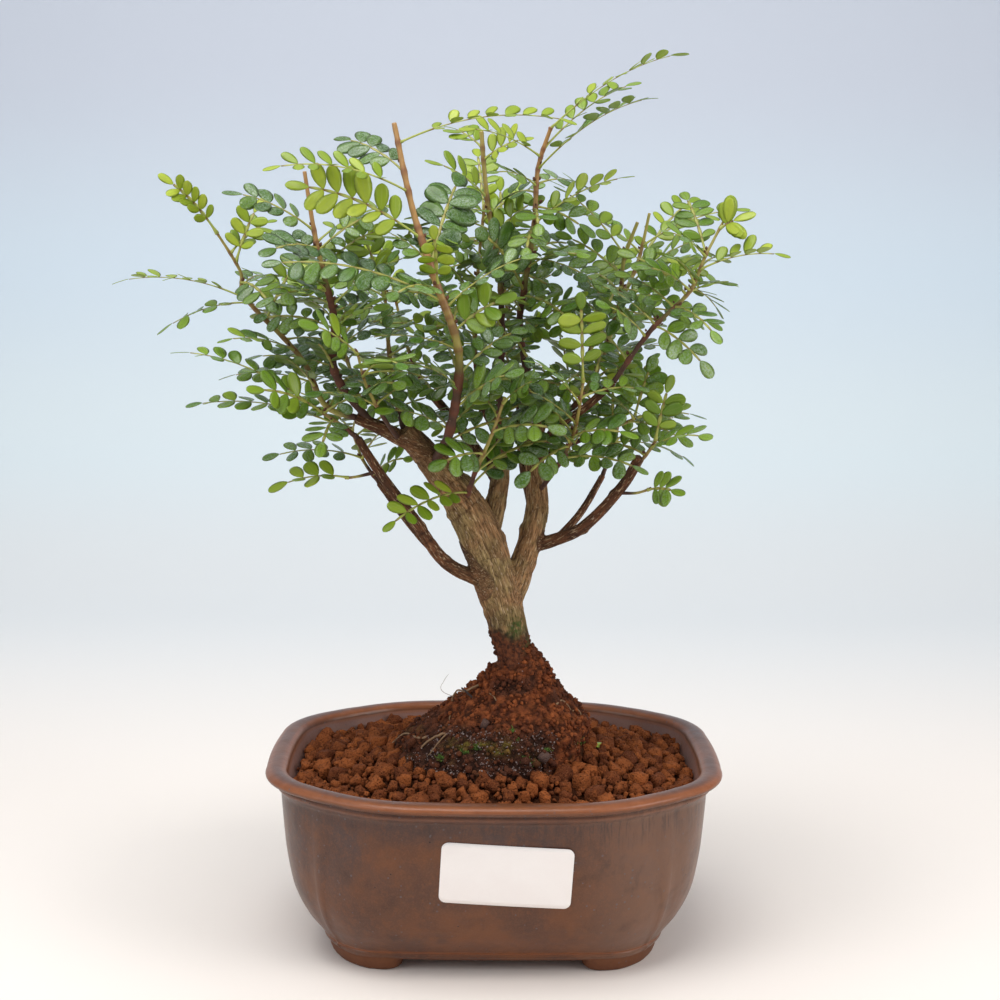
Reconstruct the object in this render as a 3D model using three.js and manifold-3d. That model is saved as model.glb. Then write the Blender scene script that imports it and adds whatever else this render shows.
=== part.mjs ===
// Japanese pepper bonsai: a small leafy tree in its old root mound, in a glazed pot with cut corners.
// Millimetres, +Z up. The plan is drawn close to the middle of the pot, with the front towards -Y.
// The finished group is then moved so that its bounding box is centred on X and Y, with the feet on z = 0.
import * as THREE from "three";
import { mergeVertices } from "three/addons/utils/BufferGeometryUtils.js";
import Module from "manifold-3d";

const wasm = await Module();
wasm.setup();

// Driving dimensions
const gap = 0.3; // clearance between pieces that touch

const pot = {
  middle: [1.2, 8.2], // the pot's middle lies to the right of the trunk's foot and behind it
  halfWidth: 74.3,
  halfDepth: 63.2,
  halfFront: 37.3, // half of the straight front edge, at the lip
  halfEnd: 36.5, // half of the straight end edge, at the lip
  bow: 0.8, // how far the middle of each straight edge swells out
  cornerReach: 17.6, // how far the rounding of a corner runs along its edges, at the lip
  // Inset from the lip's outline and height, up the outside, over the lip and down the inside
  outside: [
    [20.8, 4.3], [17.8, 9], [13.9, 13.5], [11.2, 18], [8.6, 24.5], [6.5, 35], [5, 52], [3.4, 57.6], [0, 59.3],
    [3.4, 61.1],
  ],
  inside: [[7, 58.5], [11, 46], [14.5, 26], [24, 12]],
  drainRadius: 7,
};
// A foot's plan where it joins the pot and at the floor, in the quarter where x and y are positive
const foot = {
  top: [
    [26.5, 38], [28.5, 45.1], [33.1, 45.2], [41.6, 43.4], [49.4, 37.5], [54.7, 29.1], [56.3, 20.4], [56, 15.5],
    [43, 14.5], [31, 28],
  ],
  floor: [
    [28.5, 36.5], [30.5, 40.5], [34, 41.6], [40.2, 40.6], [47.5, 35], [51.6, 27.6], [53, 20.5], [52.5, 17.3],
    [43.5, 17.3], [33.5, 29],
  ],
  height: 9,
};
const label = { x: 5.3, z: 37.6, width: 40.4, height: 19.9, tilt: -3.3, thick: 0.5 };
const drainMesh = { side: 24, thick: 1.2, slot: 5.4, bar: 2.2, count: 2 };
const soil = { edgeHeight: 54.8, moundHeight: 60.6, grain: 1.5, rings: 3 };
const mound = {
  // Centre x, radius and height, from the sunk underside up to the trunk
  rings: [
    [0, 26, 36], [0, 31.5, 50], [0, 33, 60.5], [1.3, 31, 65], [5.4, 27.6, 71.5], [6.8, 22.2, 77],
    [8.6, 13.6, 85], [9.4, 9.6, 91],
  ],
  depthShare: 0.92,
  setBack: 4.5, // the middle of the mound's foot lies this far behind the trunk's foot
  sides: 18,
  crumb: 0.9,
};
const blade = { thick: 0.6, halfRib: 0.4, arch: 0.022, petiole: 0.2, lastPair: 0.84 };
const clearance = 3; // between the points that stand for fronds and stems
const goldenAngle = 2.39996;

// Trunk and woody limbs: x, y, z and radius from the foot to the end
const limbs = {
  trunk: [
    [8.3, 0, 68, 7], [8.3, 0, 88, 6.4], [7.4, 0, 97, 6], [5.2, 0, 106, 6.2], [2.4, -0.5, 116, 6.9],
    [-1, -1, 127, 7],
  ],
  left: [
    [3, 0, 114, 5.6], [-1.5, -1, 129, 7.2], [-8, -3, 144, 6.6], [-17, -6, 157, 4.9], [-28, -9, 170, 3.7],
  ],
  heart: [[-2, 1, 132, 4], [2, 6, 148, 3.3], [3, 9, 160, 2.7], [2, 13, 174, 1.9]],
  right: [[4.5, 1, 110, 4.6], [9.2, 3, 122, 4.3], [15, 8, 142, 3.8], [14, 13, 163, 2.9], [17, 15, 173, 2.2]],
  upperLeft: [[-22, -8, 164, 2.9], [-34, -10, 170, 2.3], [-43, -12, 174, 1.8]],
  lowerLeft: [
    [-3, -2, 120, 2.6], [-15, -6, 127, 2.1], [-25, -12, 142, 1.8], [-36, -16, 158, 1.5], [-42, -17, 168, 1.3],
  ],
  lowerLeftTwin: [[-14, -5, 127, 1.5], [-21, 4, 131, 1.4], [-29, 10, 139, 1.2], [-38, 15, 150, 1]],
  lowerRight: [[13.5, 7, 130, 2.3], [29, 0, 137, 1.9], [41, -8, 151, 1.7], [47, -12, 162, 1.6]],
  lowerRightTwin: [[23, 3, 134.5, 1.4], [30, 8, 142, 1.2], [37, 14, 153, 1]],
  rightReach: [[15, 12, 158, 2.4], [20, 2, 169, 2], [30, -11, 178, 1.9], [38, -16, 186, 1.8]],
  back: [[15, 8, 140, 2.6], [11, 22, 156, 2], [9, 36, 172, 1.4]],
  backLeft: [[2, 8, 152, 2.2], [-11, 22, 168, 1.7], [-24, 33, 182, 1.3]],
};

// Leafy shoots: the way of the stem, its radius at both ends, the fronds that the stem is known by
// (share along the stem, tip x, y and z, tilt of the blade to the front in degrees, leaflet length),
// and how many more fronds it carries. A shoot grows from the trunk's limbs, or from another shoot's stem.
const shoots = {
  far_left: {
    way: [[-43, -12, 174], [-53, -11, 178], [-61, -8, 193], [-78, -6, 211], [-80, -6, 220], [-87, -8, 232]],
    radii: [1.4, 0.7],
    fronds: [
      [0.98, -102, -14, 248, 70, 4.4], [0.6, -119, -10, 216, 5, 4.6], [0.84, -74, -2, 241, 60, 4.6],
      [0.42, -84, -24, 198, 25, 5], [0.52, -60, 4, 226, 60, 5], [0.3, -86, -12, 186, 10, 5],
    ],
    more: 1,
  },
  left_mast: {
    way: [
      [-38, -11, 172], [-49, -16, 188], [-49, -18, 205], [-52, -20, 219], [-55, -18, 232], [-58, -16, 250],
    ],
    radii: [1.7, 1],
    fronds: [
      [0.8, -81, -24, 243, 30, 5.4], [0.72, -68, -38, 224, 40, 5.4], [0.62, -34, -6, 233, 30, 5],
      [0.52, -70, -34, 209, 20, 5.4], [0.46, -70, 4, 212, 15, 5], [0.36, -32, -36, 209, 35, 5.4],
    ],
    more: 2,
  },
  tall_front: {
    way: [
      [-19, -7, 159], [-13, -22, 171], [-10, -33, 195], [-17, -35, 217], [-24, -30, 238], [-30, -22, 264],
    ],
    radii: [2, 1.3],
    fronds: [
      [0.72, -60, -42, 244, 65, 6.6], [0.84, -65, -34, 248, 8, 4.8], [0.88, -48, -14, 260, 35, 5.4],
      [0.94, 25, -27, 264, 18, 5], [0.54, -67, -46, 221, 40, 5.6], [0.64, -10, -28, 249, 75, 6.8],
      [0.32, -24, -46, 192, 30, 5.6], [0.26, 8, -44, 190, 45, 6], [0.46, 6, -40, 212, 60, 6],
      [0.58, -17, -48, 231, 60, 4.4], [0.2, -34, -36, 178, 30, 5.6],
    ],
    more: 1,
  },
  centre_mast: {
    way: [[2, 13, 174], [3, 8, 198], [2, 6, 220], [-2, 8, 243], [-4, 10, 265]],
    radii: [1.5, 1.2],
    fronds: [
      [0.5, -15, 0, 229, 30, 5.4], [0.62, 15, -2, 243, 40, 5], [0.76, -20, -4, 254, 45, 5.4],
      [0.88, 12, 2, 262, 50, 4.8], [0.92, -16, 18, 267, 20, 5], [0.4, 20, -8, 206, 40, 5],
    ],
    more: 1,
  },
  centre_back: {
    way: [[2, 12, 165], [-4, 18, 178], [-6, 21, 198], [-5, 25, 222], [-3, 28, 243]],
    radii: [1.3, 0.8],
    fronds: [[0.95, -6, 44, 262, 20, 5], [0.7, -34, 24, 236, 15, 5]],
    more: 3,
  },
  right_mast: {
    way: [[15, 14, 169], [9, 6, 200], [10, 0, 214], [13, -4, 235], [14, -4, 252], [18, -4, 265]],
    radii: [1.7, 1.2],
    fronds: [
      [0.99, 59, -10, 287, 15, 5], [0.85, -10, -16, 263, 25, 5], [0.88, 46, 6, 280, 30, 5],
      [0.8, 48, -14, 271, 60, 5.2], [0.6, 43, -16, 249, 30, 5.2], [0.4, -4, -24, 231, 75, 6],
      [0.66, 32, -14, 231, 45, 5.4], [0.5, 36, -12, 214, 30, 5.4], [0.74, 32, 14, 247, 30, 5],
    ],
    more: 1,
  },
  right_fork: {
    way: [[17, 15, 172], [27, 14, 176], [35, 10, 190], [41, 6, 210], [42, 2, 224], [46, 0, 236]],
    radii: [1.5, 1],
    fronds: [
      [0.82, 21, -8, 247, 45, 5.2], [0.72, 21, -12, 232, 40, 5.2], [0.56, 24, -4, 221, 30, 5],
      [0.66, 58, -6, 208, 35, 5], [0.46, 50, 6, 186, 25, 5],
    ],
    more: 1,
  },
  right_fork_back: {
    from: "right_fork",
    way: [[36, 9.5, 193], [42, 17, 210], [48, 22, 223], [52, 24, 240]],
    radii: [1.2, 0.9],
    fronds: [[0.78, 84, 20, 241, 25, 4.8], [0.62, 70, 34, 246, 35, 4.8], [0.46, 68, 12, 231, 40, 5]],
    more: 1,
  },
  far_right: {
    way: [[38, -16, 186], [49, -18, 202], [61, -16, 214], [66, -14, 225], [73, -10, 238]],
    radii: [1.7, 1],
    fronds: [
      [0.9, 80, -14, 237, 60, 5.6], [0.76, 61, -4, 245, 50, 4.8], [0.66, 91, -22, 225, 20, 4.8],
      [0.48, 40, -14, 226, 40, 5.2], [0.4, 68, -38, 199, 15, 5], [0.28, 68, -24, 188, 35, 5.2],
      [0.22, 32, -34, 210, 45, 5.4], [0.56, 52, -38, 224, 45, 5.2], [0.52, 74, 2, 206, 30, 5],
    ],
    more: 0,
  },
  low_right_edge: {
    way: [[17, 11, 160], [30, 5, 166], [41, 0, 171], [47, -3, 174]],
    radii: [1.1, 0.7],
    fronds: [
      [0.96, 68, -8, 174, 20, 5], [0.9, 52, 8, 192, 50, 5.2], [0.8, 64, -20, 165, 25, 5],
      [0.6, 40, 16, 186, 35, 5],
    ],
    more: 1,
  },
  low_right_tip: {
    way: [[45, -11, 158], [49, -13, 163], [52, -14, 168]],
    radii: [0.9, 0.7],
    fronds: [[0.9, 56, -14, 186, 55, 4.8], [0.7, 66, -26, 170, 35, 4.6]],
    more: 0,
  },
  low_right_twig: {
    way: [[41, -8, 150], [46, -12, 150.5], [50, -14, 152]],
    radii: [0.8, 0.6],
    fronds: [[0.9, 60, -22, 151, 60, 4.6]],
    more: 0,
  },
  low_right_back: {
    way: [[37, 14, 153], [41, 19, 164], [44, 24, 176]],
    radii: [1, 0.7],
    fronds: [[0.9, 56, 34, 192, 25, 5], [0.5, 66, 22, 172, 20, 5]],
    more: 2,
  },
  low_left_tip: {
    way: [[-42, -17, 168], [-48, -20, 173], [-55, -22, 178]],
    radii: [1.2, 0.7],
    fronds: [
      [0.3, -95, -22, 178, 12, 5.2], [0.95, -97, -10, 195, 15, 5], [0.6, -52, -36, 164, 40, 5],
      [0.8, -72, -40, 184, 35, 5.4],
    ],
    more: 0,
  },
  low_left_back: {
    way: [[-38, 15, 150], [-44, 19, 158], [-48, 24, 168]],
    radii: [0.9, 0.6],
    fronds: [[0.9, -70, 32, 180, 20, 5], [0.5, -76, 12, 158, 20, 5]],
    more: 2,
  },
  low_left_frond: {
    way: [[-37, -16, 157], [-42, -18, 156], [-46, -19, 155.5]],
    radii: [0.8, 0.6],
    fronds: [[0.8, -69, -22, 152, 20, 5.4]],
    more: 0,
  },
  left_inner: {
    way: [[-28, -7, 169], [-32, -2, 184], [-34, 3, 200], [-35, 6, 214]],
    radii: [1.3, 0.7],
    fronds: [[0.9, -44, 0, 236, 40, 5.2]],
    more: 5,
  },
  left_back: {
    way: [[-41, -10, 174], [-45, 4, 184], [-50, 16, 196], [-54, 24, 206]],
    radii: [1.2, 0.7],
    fronds: [[0.95, -72, 34, 222, 20, 5]],
    more: 4,
  },
  left_front: {
    way: [[-30, -12, 168], [-34, -24, 176], [-38, -34, 186], [-40, -40, 196]],
    radii: [1.1, 0.6],
    fronds: [[0.95, -54, -52, 204, 40, 5.4], [0.6, -26, -50, 186, 45, 5.4]],
    more: 2,
  },
  centre_front: {
    way: [[-8, -8, 148], [-5, -18, 158], [0, -26, 170], [4, -30, 182]],
    radii: [1.2, 0.7],
    fronds: [
      [0.1, -33, -28, 141, 30, 5.2], [0.5, -18, -34, 160, 55, 5.4], [0.7, 22, -38, 172, 50, 5.6],
      [0.95, 6, -44, 204, 65, 5.8],
    ],
    more: 2,
  },
  right_front: {
    way: [[15.5, 9, 148], [22, -8, 160], [26, -20, 172], [28, -28, 188]],
    radii: [1.2, 0.7],
    fronds: [[0.5, 8, -26, 154, 45, 5.4], [0.6, 44, -30, 170, 45, 5.4], [0.95, 26, -42, 212, 60, 5.6]],
    more: 3,
  },
  back_centre: {
    way: [[9, 36, 172], [8, 42, 188], [5, 45, 206], [3, 46, 226]],
    radii: [1.3, 0.8],
    fronds: [[0.95, 2, 52, 252, 10, 5]],
    more: 6,
  },
  back_right: {
    way: [[10, 28, 163], [22, 34, 174], [32, 38, 190], [37, 40, 208]],
    radii: [1.2, 0.7],
    fronds: [[0.95, 48, 46, 232, 10, 5]],
    more: 5,
  },
  back_left: {
    way: [[-24, 33, 182], [-30, 37, 196], [-34, 39, 212]],
    radii: [1.2, 0.7],
    fronds: [[0.95, -42, 44, 234, 10, 5]],
    more: 4,
  },
};

// Surface roots on the mound: bearing, radius from the trunk and height over the slope, at both ends
const surfaceRoots = [[2.9, 12, 3.4, 27], [3.9, 12, 4.2, 26], [4.9, 12, 5.1, 24], [0.1, 11, -0.2, 24]];

// Seeded draws, so that each run grows the same tree
let seed = 12;
function draw(low, high) {
  seed = (seed * 1664525 + 1013904223) % 4294967296;
  return low + ((high - low) * seed) / 4294967296;
}

// Solids
function solidFrom(geometry) {
  geometry.deleteAttribute("normal");
  geometry.deleteAttribute("uv");
  const merged = mergeVertices(geometry, 1e-3);
  return new wasm.Manifold(
    new wasm.Mesh({
      numProp: 3,
      vertProperties: new Float32Array(merged.attributes.position.array),
      triVerts: new Uint32Array(merged.index.array),
    }),
  );
}

function solidFromPoints(points, triangles) {
  const geometry = new THREE.BufferGeometry();
  geometry.setAttribute("position", new THREE.Float32BufferAttribute(points.flat(), 3));
  geometry.setIndex(triangles.flat());
  return solidFrom(geometry);
}

// A closed skin over rings of the same number of points, each seen counter-clockwise from the last ring
function loft(rings) {
  const count = rings[0].length;
  const points = rings.flat();
  const triangles = [];
  for (let r = 0; r + 1 < rings.length; r++)
    for (let i = 0; i < count; i++) {
      const a = r * count + i;
      const b = r * count + ((i + 1) % count);
      triangles.push([a, b, b + count], [a, b + count, a + count]);
    }
  const middle = (ring) => [0, 1, 2].map((k) => ring.reduce((sum, p) => sum + p[k], 0) / count);
  const last = (rings.length - 1) * count;
  points.push(middle(rings[0]), middle(rings.at(-1)));
  for (let i = 0; i < count; i++) {
    const next = (i + 1) % count;
    triangles.push([next, i, points.length - 2], [last + i, last + next, points.length - 1]);
  }
  return solidFromPoints(points, triangles);
}

function largestBody(solid) {
  return solid.decompose().reduce((best, body) => (body.volume() > best.volume() ? body : best));
}

function joined(solids) {
  return largestBody(solids.reduce((sum, solid) => sum.add(solid)));
}

function mesh(name, solid, colour, roughness) {
  const found = solid.getMesh();
  const geometry = new THREE.BufferGeometry();
  geometry.setAttribute("position", new THREE.BufferAttribute(new Float32Array(found.vertProperties), 3));
  geometry.setIndex(new THREE.BufferAttribute(new Uint32Array(found.triVerts), 1));
  geometry.computeVertexNormals();
  const material = new THREE.MeshStandardMaterial({ color: colour, roughness, metalness: 0 });
  const made = new THREE.Mesh(geometry, material);
  made.name = name;
  return made;
}

// Pot
// The lip's outline moved in by an inset: the corners of an eight-sided plan, counter-clockwise from +X.
// Further down, the cut corners stand out more.
function planCorners(inset, height) {
  const drop = Math.max(0, 59.3 - height);
  const x = pot.halfWidth - inset;
  const y = pot.halfDepth - inset;
  const front = pot.halfFront - 0.3 * inset + 0.21 * drop;
  const end = pot.halfEnd - 0.54 * inset + 0.06 * drop;
  return [[x, -end], [x, end], [front, y], [-front, y], [-x, end], [-x, -end], [-front, -y], [front, -y]];
}

function potRing([inset, height]) {
  const corners = planCorners(inset, height);
  const cornerReach = pot.cornerReach - 0.46 * inset;
  const ring = [];
  corners.forEach((corner, i) => {
    const before = corners[(i + 7) % 8];
    const after = corners[(i + 1) % 8];
    const towards = (other) => {
      const length = Math.hypot(other[0] - corner[0], other[1] - corner[1]);
      return [0, 1].map((k) => corner[k] + ((other[k] - corner[k]) * cornerReach) / length);
    };
    const start = towards(before);
    const end = towards(after);
    const crown = [0, 1].map((k) => (start[k] + 2 * corner[k] + end[k]) / 4);
    ring.push([...start, height], [...crown, height], [...end, height]);
    if (i % 2 === 0) {
      const middle = [0, 1].map((k) => (corner[k] + after[k]) / 2);
      const reach = Math.hypot(...middle);
      ring.push([...middle.map((v) => v * (1 + pot.bow / reach)), height]);
    }
  });
  return ring;
}

function cylinder(radius, low, high, sides) {
  const ring = (z) =>
    Array.from({ length: sides }, (_, i) => {
      const angle = (2 * Math.PI * i) / sides;
      return [radius * Math.cos(angle), radius * Math.sin(angle), z];
    });
  return loft([ring(low), ring(high)]);
}

function footSolid(signX, signY) {
  const ring = (plan, height) => {
    const points = plan.map(([x, y]) => [signX * x, signY * y, height]);
    return signX * signY > 0 ? points.reverse() : points;
  };
  return loft([ring(foot.floor, 0), ring(foot.top, foot.height)]);
}

function potSolid() {
  let solid = loft([...pot.outside, ...pot.inside].map(potRing));
  for (const signX of [-1, 1])
    for (const signY of [-1, 1]) solid = solid.add(footSolid(signX, signY));
  return solid.subtract(cylinder(pot.drainRadius, 0, 20, 16)).translate([...pot.middle, 0]);
}

// The outer wall's inset at a height
function insetAt(height) {
  const upper = pot.outside.findIndex(([, z]) => z >= height);
  const [i0, z0] = pot.outside[upper - 1];
  const [i1, z1] = pot.outside[upper];
  return i0 + ((i1 - i0) * (height - z0)) / (z1 - z0);
}

function labelSolid() {
  const columns = 4;
  const tilt = THREE.MathUtils.degToRad(label.tilt);
  const ring = (offset) => (v) =>
    Array.from({ length: columns + 1 }, (_, i) => {
      const u = label.width * (i / columns - 0.5);
      const x = label.x + u * Math.cos(tilt) - v * Math.sin(tilt);
      const z = label.z + u * Math.sin(tilt) + v * Math.cos(tilt);
      const swell = pot.bow * (1 - ((x - pot.middle[0]) / pot.halfFront) ** 2);
      return [x, pot.middle[1] - (pot.halfDepth - insetAt(z) + swell + offset), z];
    });
  const band = (v) => [...ring(gap + label.thick)(v), ...ring(gap)(v).reverse()];
  return loft([-0.5, -0.25, 0, 0.25, 0.5].map((share) => band(share * label.height)));
}

function drainMeshSolid() {
  const pitch = drainMesh.slot + drainMesh.bar;
  const low = pot.inside.at(-1)[1] + gap;
  const box = (w, d, h) => solidFrom(new THREE.BoxGeometry(w, d, h));
  const sheet = box(drainMesh.side, drainMesh.side, drainMesh.thick);
  let solid = sheet.translate([0, 0, low + drainMesh.thick / 2]);
  for (let i = 0; i < drainMesh.count; i++)
    for (let j = 0; j < drainMesh.count; j++) {
      const middle = (drainMesh.count - 1) / 2;
      const hole = box(drainMesh.slot, drainMesh.slot, 8);
      solid = solid.subtract(hole.translate([(i - middle) * pitch, (j - middle) * pitch, low]));
    }
  return solid.translate([...pot.middle, 0]);
}

// Soil and mound
// The inner wall's inset at a height over its lowest bend
function insideInsetAt(height) {
  const [i0, z0] = pot.inside[0];
  const [i1, z1] = pot.inside[1];
  return i0 + ((i1 - i0) * (height - z0)) / (z1 - z0);
}

function soilSolid() {
  const skirtInsets = [...pot.inside].reverse().filter(([, z]) => z < soil.edgeHeight);
  const skirt = skirtInsets.map(([inset, z], i) => potRing([inset + 1.4 * gap, z + (i ? 0 : gap)]));
  const doubled = (ring) =>
    ring.flatMap((p, i) => {
      const next = ring[(i + 1) % ring.length];
      return [p, p.map((v, k) => (v + next[k]) / 2)];
    });
  const edge = doubled(potRing([insideInsetAt(soil.edgeHeight) + 1.4 * gap, soil.edgeHeight]));
  const rings = skirt.map(doubled);
  rings.push(edge);
  for (let r = 1; r <= soil.rings; r++) {
    const share = 1 - (r / (soil.rings + 1)) ** 1.1;
    const height = soil.edgeHeight + (soil.moundHeight - soil.edgeHeight) * (1 - share) * 2.4;
    rings.push(
      edge.map(([x, y]) => [
        x * share + draw(-1.2, 1.2),
        y * share + draw(-1.2, 1.2),
        Math.min(height, soil.moundHeight) + draw(-soil.grain, soil.grain),
      ]),
    );
  }
  const bed = loft(rings).subtract(drainMeshRecess()).translate([...pot.middle, 0]);
  return bed.subtract(moundPlug(1.3 * gap));
}

function drainMeshRecess() {
  const side = drainMesh.side + 2 * gap;
  const low = pot.inside.at(-1)[1];
  const height = drainMesh.thick + 2 * gap;
  return solidFrom(new THREE.BoxGeometry(side, side, 2 * height)).translate([0, 0, low]);
}

// How far behind the trunk's foot the mound's middle lies at a height
function moundSetBack(height) {
  const foot = mound.rings[2][2];
  const top = mound.rings.at(-1)[2];
  return mound.setBack * Math.min(1, (top - height) / (top - foot));
}

function moundRing([x, radius, z], crumb) {
  return Array.from({ length: mound.sides }, (_, i) => {
    const angle = (2 * Math.PI * i) / mound.sides;
    const reach = radius + draw(-crumb, crumb);
    const height = z + draw(-crumb, crumb);
    const y = moundSetBack(z) + mound.depthShare * reach * Math.sin(angle);
    return [x + reach * Math.cos(angle), y, height];
  });
}

// The sunk part of the mound, grown by an allowance and carried straight up
function moundPlug(allowance) {
  const rings = mound.rings.slice(0, 3).map(([x, radius, z]) => [x, radius + allowance, z]);
  rings[0][2] -= allowance;
  rings.push([rings[2][0], rings[2][1], 100]);
  return loft(rings.map((ring) => moundRing(ring, 0)));
}

function moundSurface(radius) {
  const upper = mound.rings.findIndex(([, r], i) => i > 2 && r <= radius);
  const [, r0, z0] = mound.rings[upper - 1];
  const [, r1, z1] = mound.rings[upper];
  return z0 + ((z1 - z0) * (radius - r0)) / (r1 - r0);
}

function surfaceRootSolid([bearing0, radius0, bearing1, radius1]) {
  const steps = [0, 0.5, 1];
  const way = steps.map((f) => {
    const bearing = bearing0 + (bearing1 - bearing0) * f ** 2;
    const radius = radius0 + (radius1 - radius0) * f;
    const sunk = 0.1 - 1.6 * (2 * f - 1) ** 4;
    const x = 5 + radius * Math.cos(bearing);
    const z = moundSurface(radius);
    const y = moundSetBack(z) + mound.depthShare * radius * Math.sin(bearing);
    return [x, y, z + sunk + 0.6, 1.1 - 0.5 * f];
  });
  return tube(way, 4, 3);
}

function moundSolid() {
  const body = loft(mound.rings.map((ring, i) => moundRing(ring, i > 2 ? mound.crumb : 0)));
  const rooted = surfaceRoots.map(surfaceRootSolid).reduce((sum, root) => sum.add(root), body);
  return largestBody(rooted.subtract(limbTube("trunk", gap)));
}

// Stems
// A point of a smooth line through all the points of a way: share 0 is its foot and 1 its end
function along(way, share) {
  const place = Math.min(Math.max(share, 0), 1) * (way.length - 1);
  const i = Math.min(Math.floor(place), way.length - 2);
  const f = place - i;
  const p0 = way[Math.max(i - 1, 0)];
  const p1 = way[i];
  const p2 = way[i + 1];
  const p3 = way[Math.min(i + 2, way.length - 1)];
  return p1.map(
    (v, k) =>
      0.5 *
      (2 * v +
        (p2[k] - p0[k]) * f +
        (2 * p0[k] - 5 * v + 4 * p2[k] - p3[k]) * f * f +
        (3 * v - p0[k] - 3 * p2[k] + p3[k]) * f * f * f),
  );
}

function wayLength(way) {
  return way.slice(1).reduce((sum, p, i) => sum + separation(way[i], p), 0);
}

// A tapering tube along points of x, y, z and radius
function tube(way, sides, ringCount, allowance = 0) {
  const rings = [];
  let side = new THREE.Vector3(1, 0, 0);
  for (let r = 0; r < ringCount; r++) {
    const share = r / (ringCount - 1);
    const [x, y, z, radius] = along(way, share);
    const ahead = new THREE.Vector3(...along(way, share + 0.01));
    const behind = new THREE.Vector3(...along(way, share - 0.01));
    const forward = ahead.sub(behind).normalize();
    side = side.addScaledVector(forward, -side.dot(forward)).normalize();
    const up = new THREE.Vector3().crossVectors(forward, side);
    rings.push(
      Array.from({ length: sides }, (_, i) => {
        const angle = (2 * Math.PI * i) / sides;
        const point = new THREE.Vector3(x, y, z);
        point.addScaledVector(side, (radius + allowance) * Math.cos(angle));
        point.addScaledVector(up, (radius + allowance) * Math.sin(angle));
        return point.toArray();
      }),
    );
  }
  return loft(rings);
}

function limbTube(name, allowance = 0) {
  const sides = { trunk: 10, left: 9, right: 8, heart: 7 }[name] ?? 6;
  return tube(limbs[name], sides, name === "trunk" || name === "left" ? 7 : 5, allowance);
}

function shootWay(shoot) {
  const last = shoot.way.length - 1;
  return shoot.way.map((p, i) => [...p, shoot.radii[0] + ((shoot.radii[1] - shoot.radii[0]) * i) / last]);
}

function stemSolid(shoot, allowance = 0) {
  return tube(shootWay(shoot), 4, Math.round(wayLength(shoot.way) / 17) + 2, allowance);
}

// Room: points that stand for the stems and fronds that are already placed
const room = new Map();
function cellKey(x, y, z) {
  return `${x},${y},${z}`;
}

function take(point, owner) {
  const key = cellKey(...point.map((v) => Math.floor(v / clearance)));
  if (!room.has(key)) room.set(key, []);
  room.get(key).push([point, owner]);
}

// Whether a point keeps its clearance; it may come close to its own shoot where it leaves the stem
function isFree(point, owner, foot) {
  const [i, j, k] = point.map((v) => Math.floor(v / clearance));
  for (let a = i - 1; a <= i + 1; a++)
    for (let b = j - 1; b <= j + 1; b++)
      for (let c = k - 1; c <= k + 1; c++)
        for (const [other, otherOwner] of room.get(cellKey(a, b, c)) ?? []) {
          if (separation(point, other) >= clearance) continue;
          const ownStem = otherOwner === owner && separation(other, foot) < 9;
          if (!ownStem) return false;
        }
  return true;
}

function separation(p, q) {
  return Math.hypot(p[0] - q[0], p[1] - q[1], p[2] - q[2]);
}

function takeStem(way, owner) {
  const steps = Math.ceil(wayLength(way) / 2);
  for (let s = 0; s <= steps; s++) {
    const [x, y, z, radius] = along(way, s / steps);
    take([x, y, z], owner);
    if (radius > 2)
      for (let i = 0; i < 8; i++) {
        const angle = (Math.PI * i) / 4;
        take([x + (radius - 0.5) * Math.cos(angle), y + (radius - 0.5) * Math.sin(angle), z], owner);
      }
  }
}

// Fronds
// A frond's own space: t runs from its foot to its tip, s across the blade and n out of its upper face
function frondSpace(frond) {
  const foot = new THREE.Vector3(...frond.foot);
  const run = new THREE.Vector3(...frond.tip).sub(foot);
  const lift = 0.09 * run.length();
  const face = THREE.MathUtils.degToRad(frond.face);
  const towards = new THREE.Vector3(0, -Math.sin(face), Math.cos(face));
  return (t, s, n) => {
    const forward = run.clone();
    forward.z += lift * 4 * (1 - 2 * t);
    forward.normalize();
    const up = towards.clone().addScaledVector(forward, -towards.dot(forward)).normalize();
    const across = new THREE.Vector3().crossVectors(up, forward);
    const point = foot.clone().addScaledVector(run, t);
    point.z += lift * 4 * t * (1 - t);
    return point.addScaledVector(across, s).addScaledVector(up, n - blade.arch * s * s).toArray();
  };
}

function frondLength(frond) {
  return separation(frond.foot, frond.tip);
}

// Points 2 mm apart over the frond's blade
function frondPoints(frond) {
  const space = frondSpace(frond);
  const length = frondLength(frond);
  const points = [];
  for (let d = 3; d <= length; d += 2) {
    const t = d / length;
    const wide = t < blade.petiole ? 0 : frond.leaflet * Math.min(1, 3 * (1.05 - t));
    const steps = Math.floor(wide / 2);
    for (let i = -steps; i <= steps; i++) points.push(space(t, steps ? (i * wide) / steps : 0, 0));
  }
  return points;
}

function hasRoom(frond, owner) {
  return frondPoints(frond).every((point) => isFree(point, owner, frond.foot));
}

// The first of a list of changed copies of a frond that has room, or none
function firstWithRoom(copies, owner) {
  const found = copies.find((copy) => hasRoom(copy, owner));
  if (found) frondPoints(found).forEach((point) => take(point, owner));
  return found;
}

// A known frond keeps its place as seen from the front and moves in depth until it has room
function knownFrond(shoot, owner, [share, x, y, z, face, leaflet]) {
  const foot = along(shoot.way, share);
  const copies = [];
  for (const size of [1, 0.86])
    for (const turn of [0, 25, -25])
      for (const depth of [0, 4, -4, 8, -8, 12, -12, 17, -17]) {
        const tip = [x, y + depth, z].map((v, k) => foot[k] + (v - foot[k]) * size);
        copies.push({ foot, tip, face: face + turn, leaflet });
      }
  return firstWithRoom(copies, owner);
}

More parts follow.
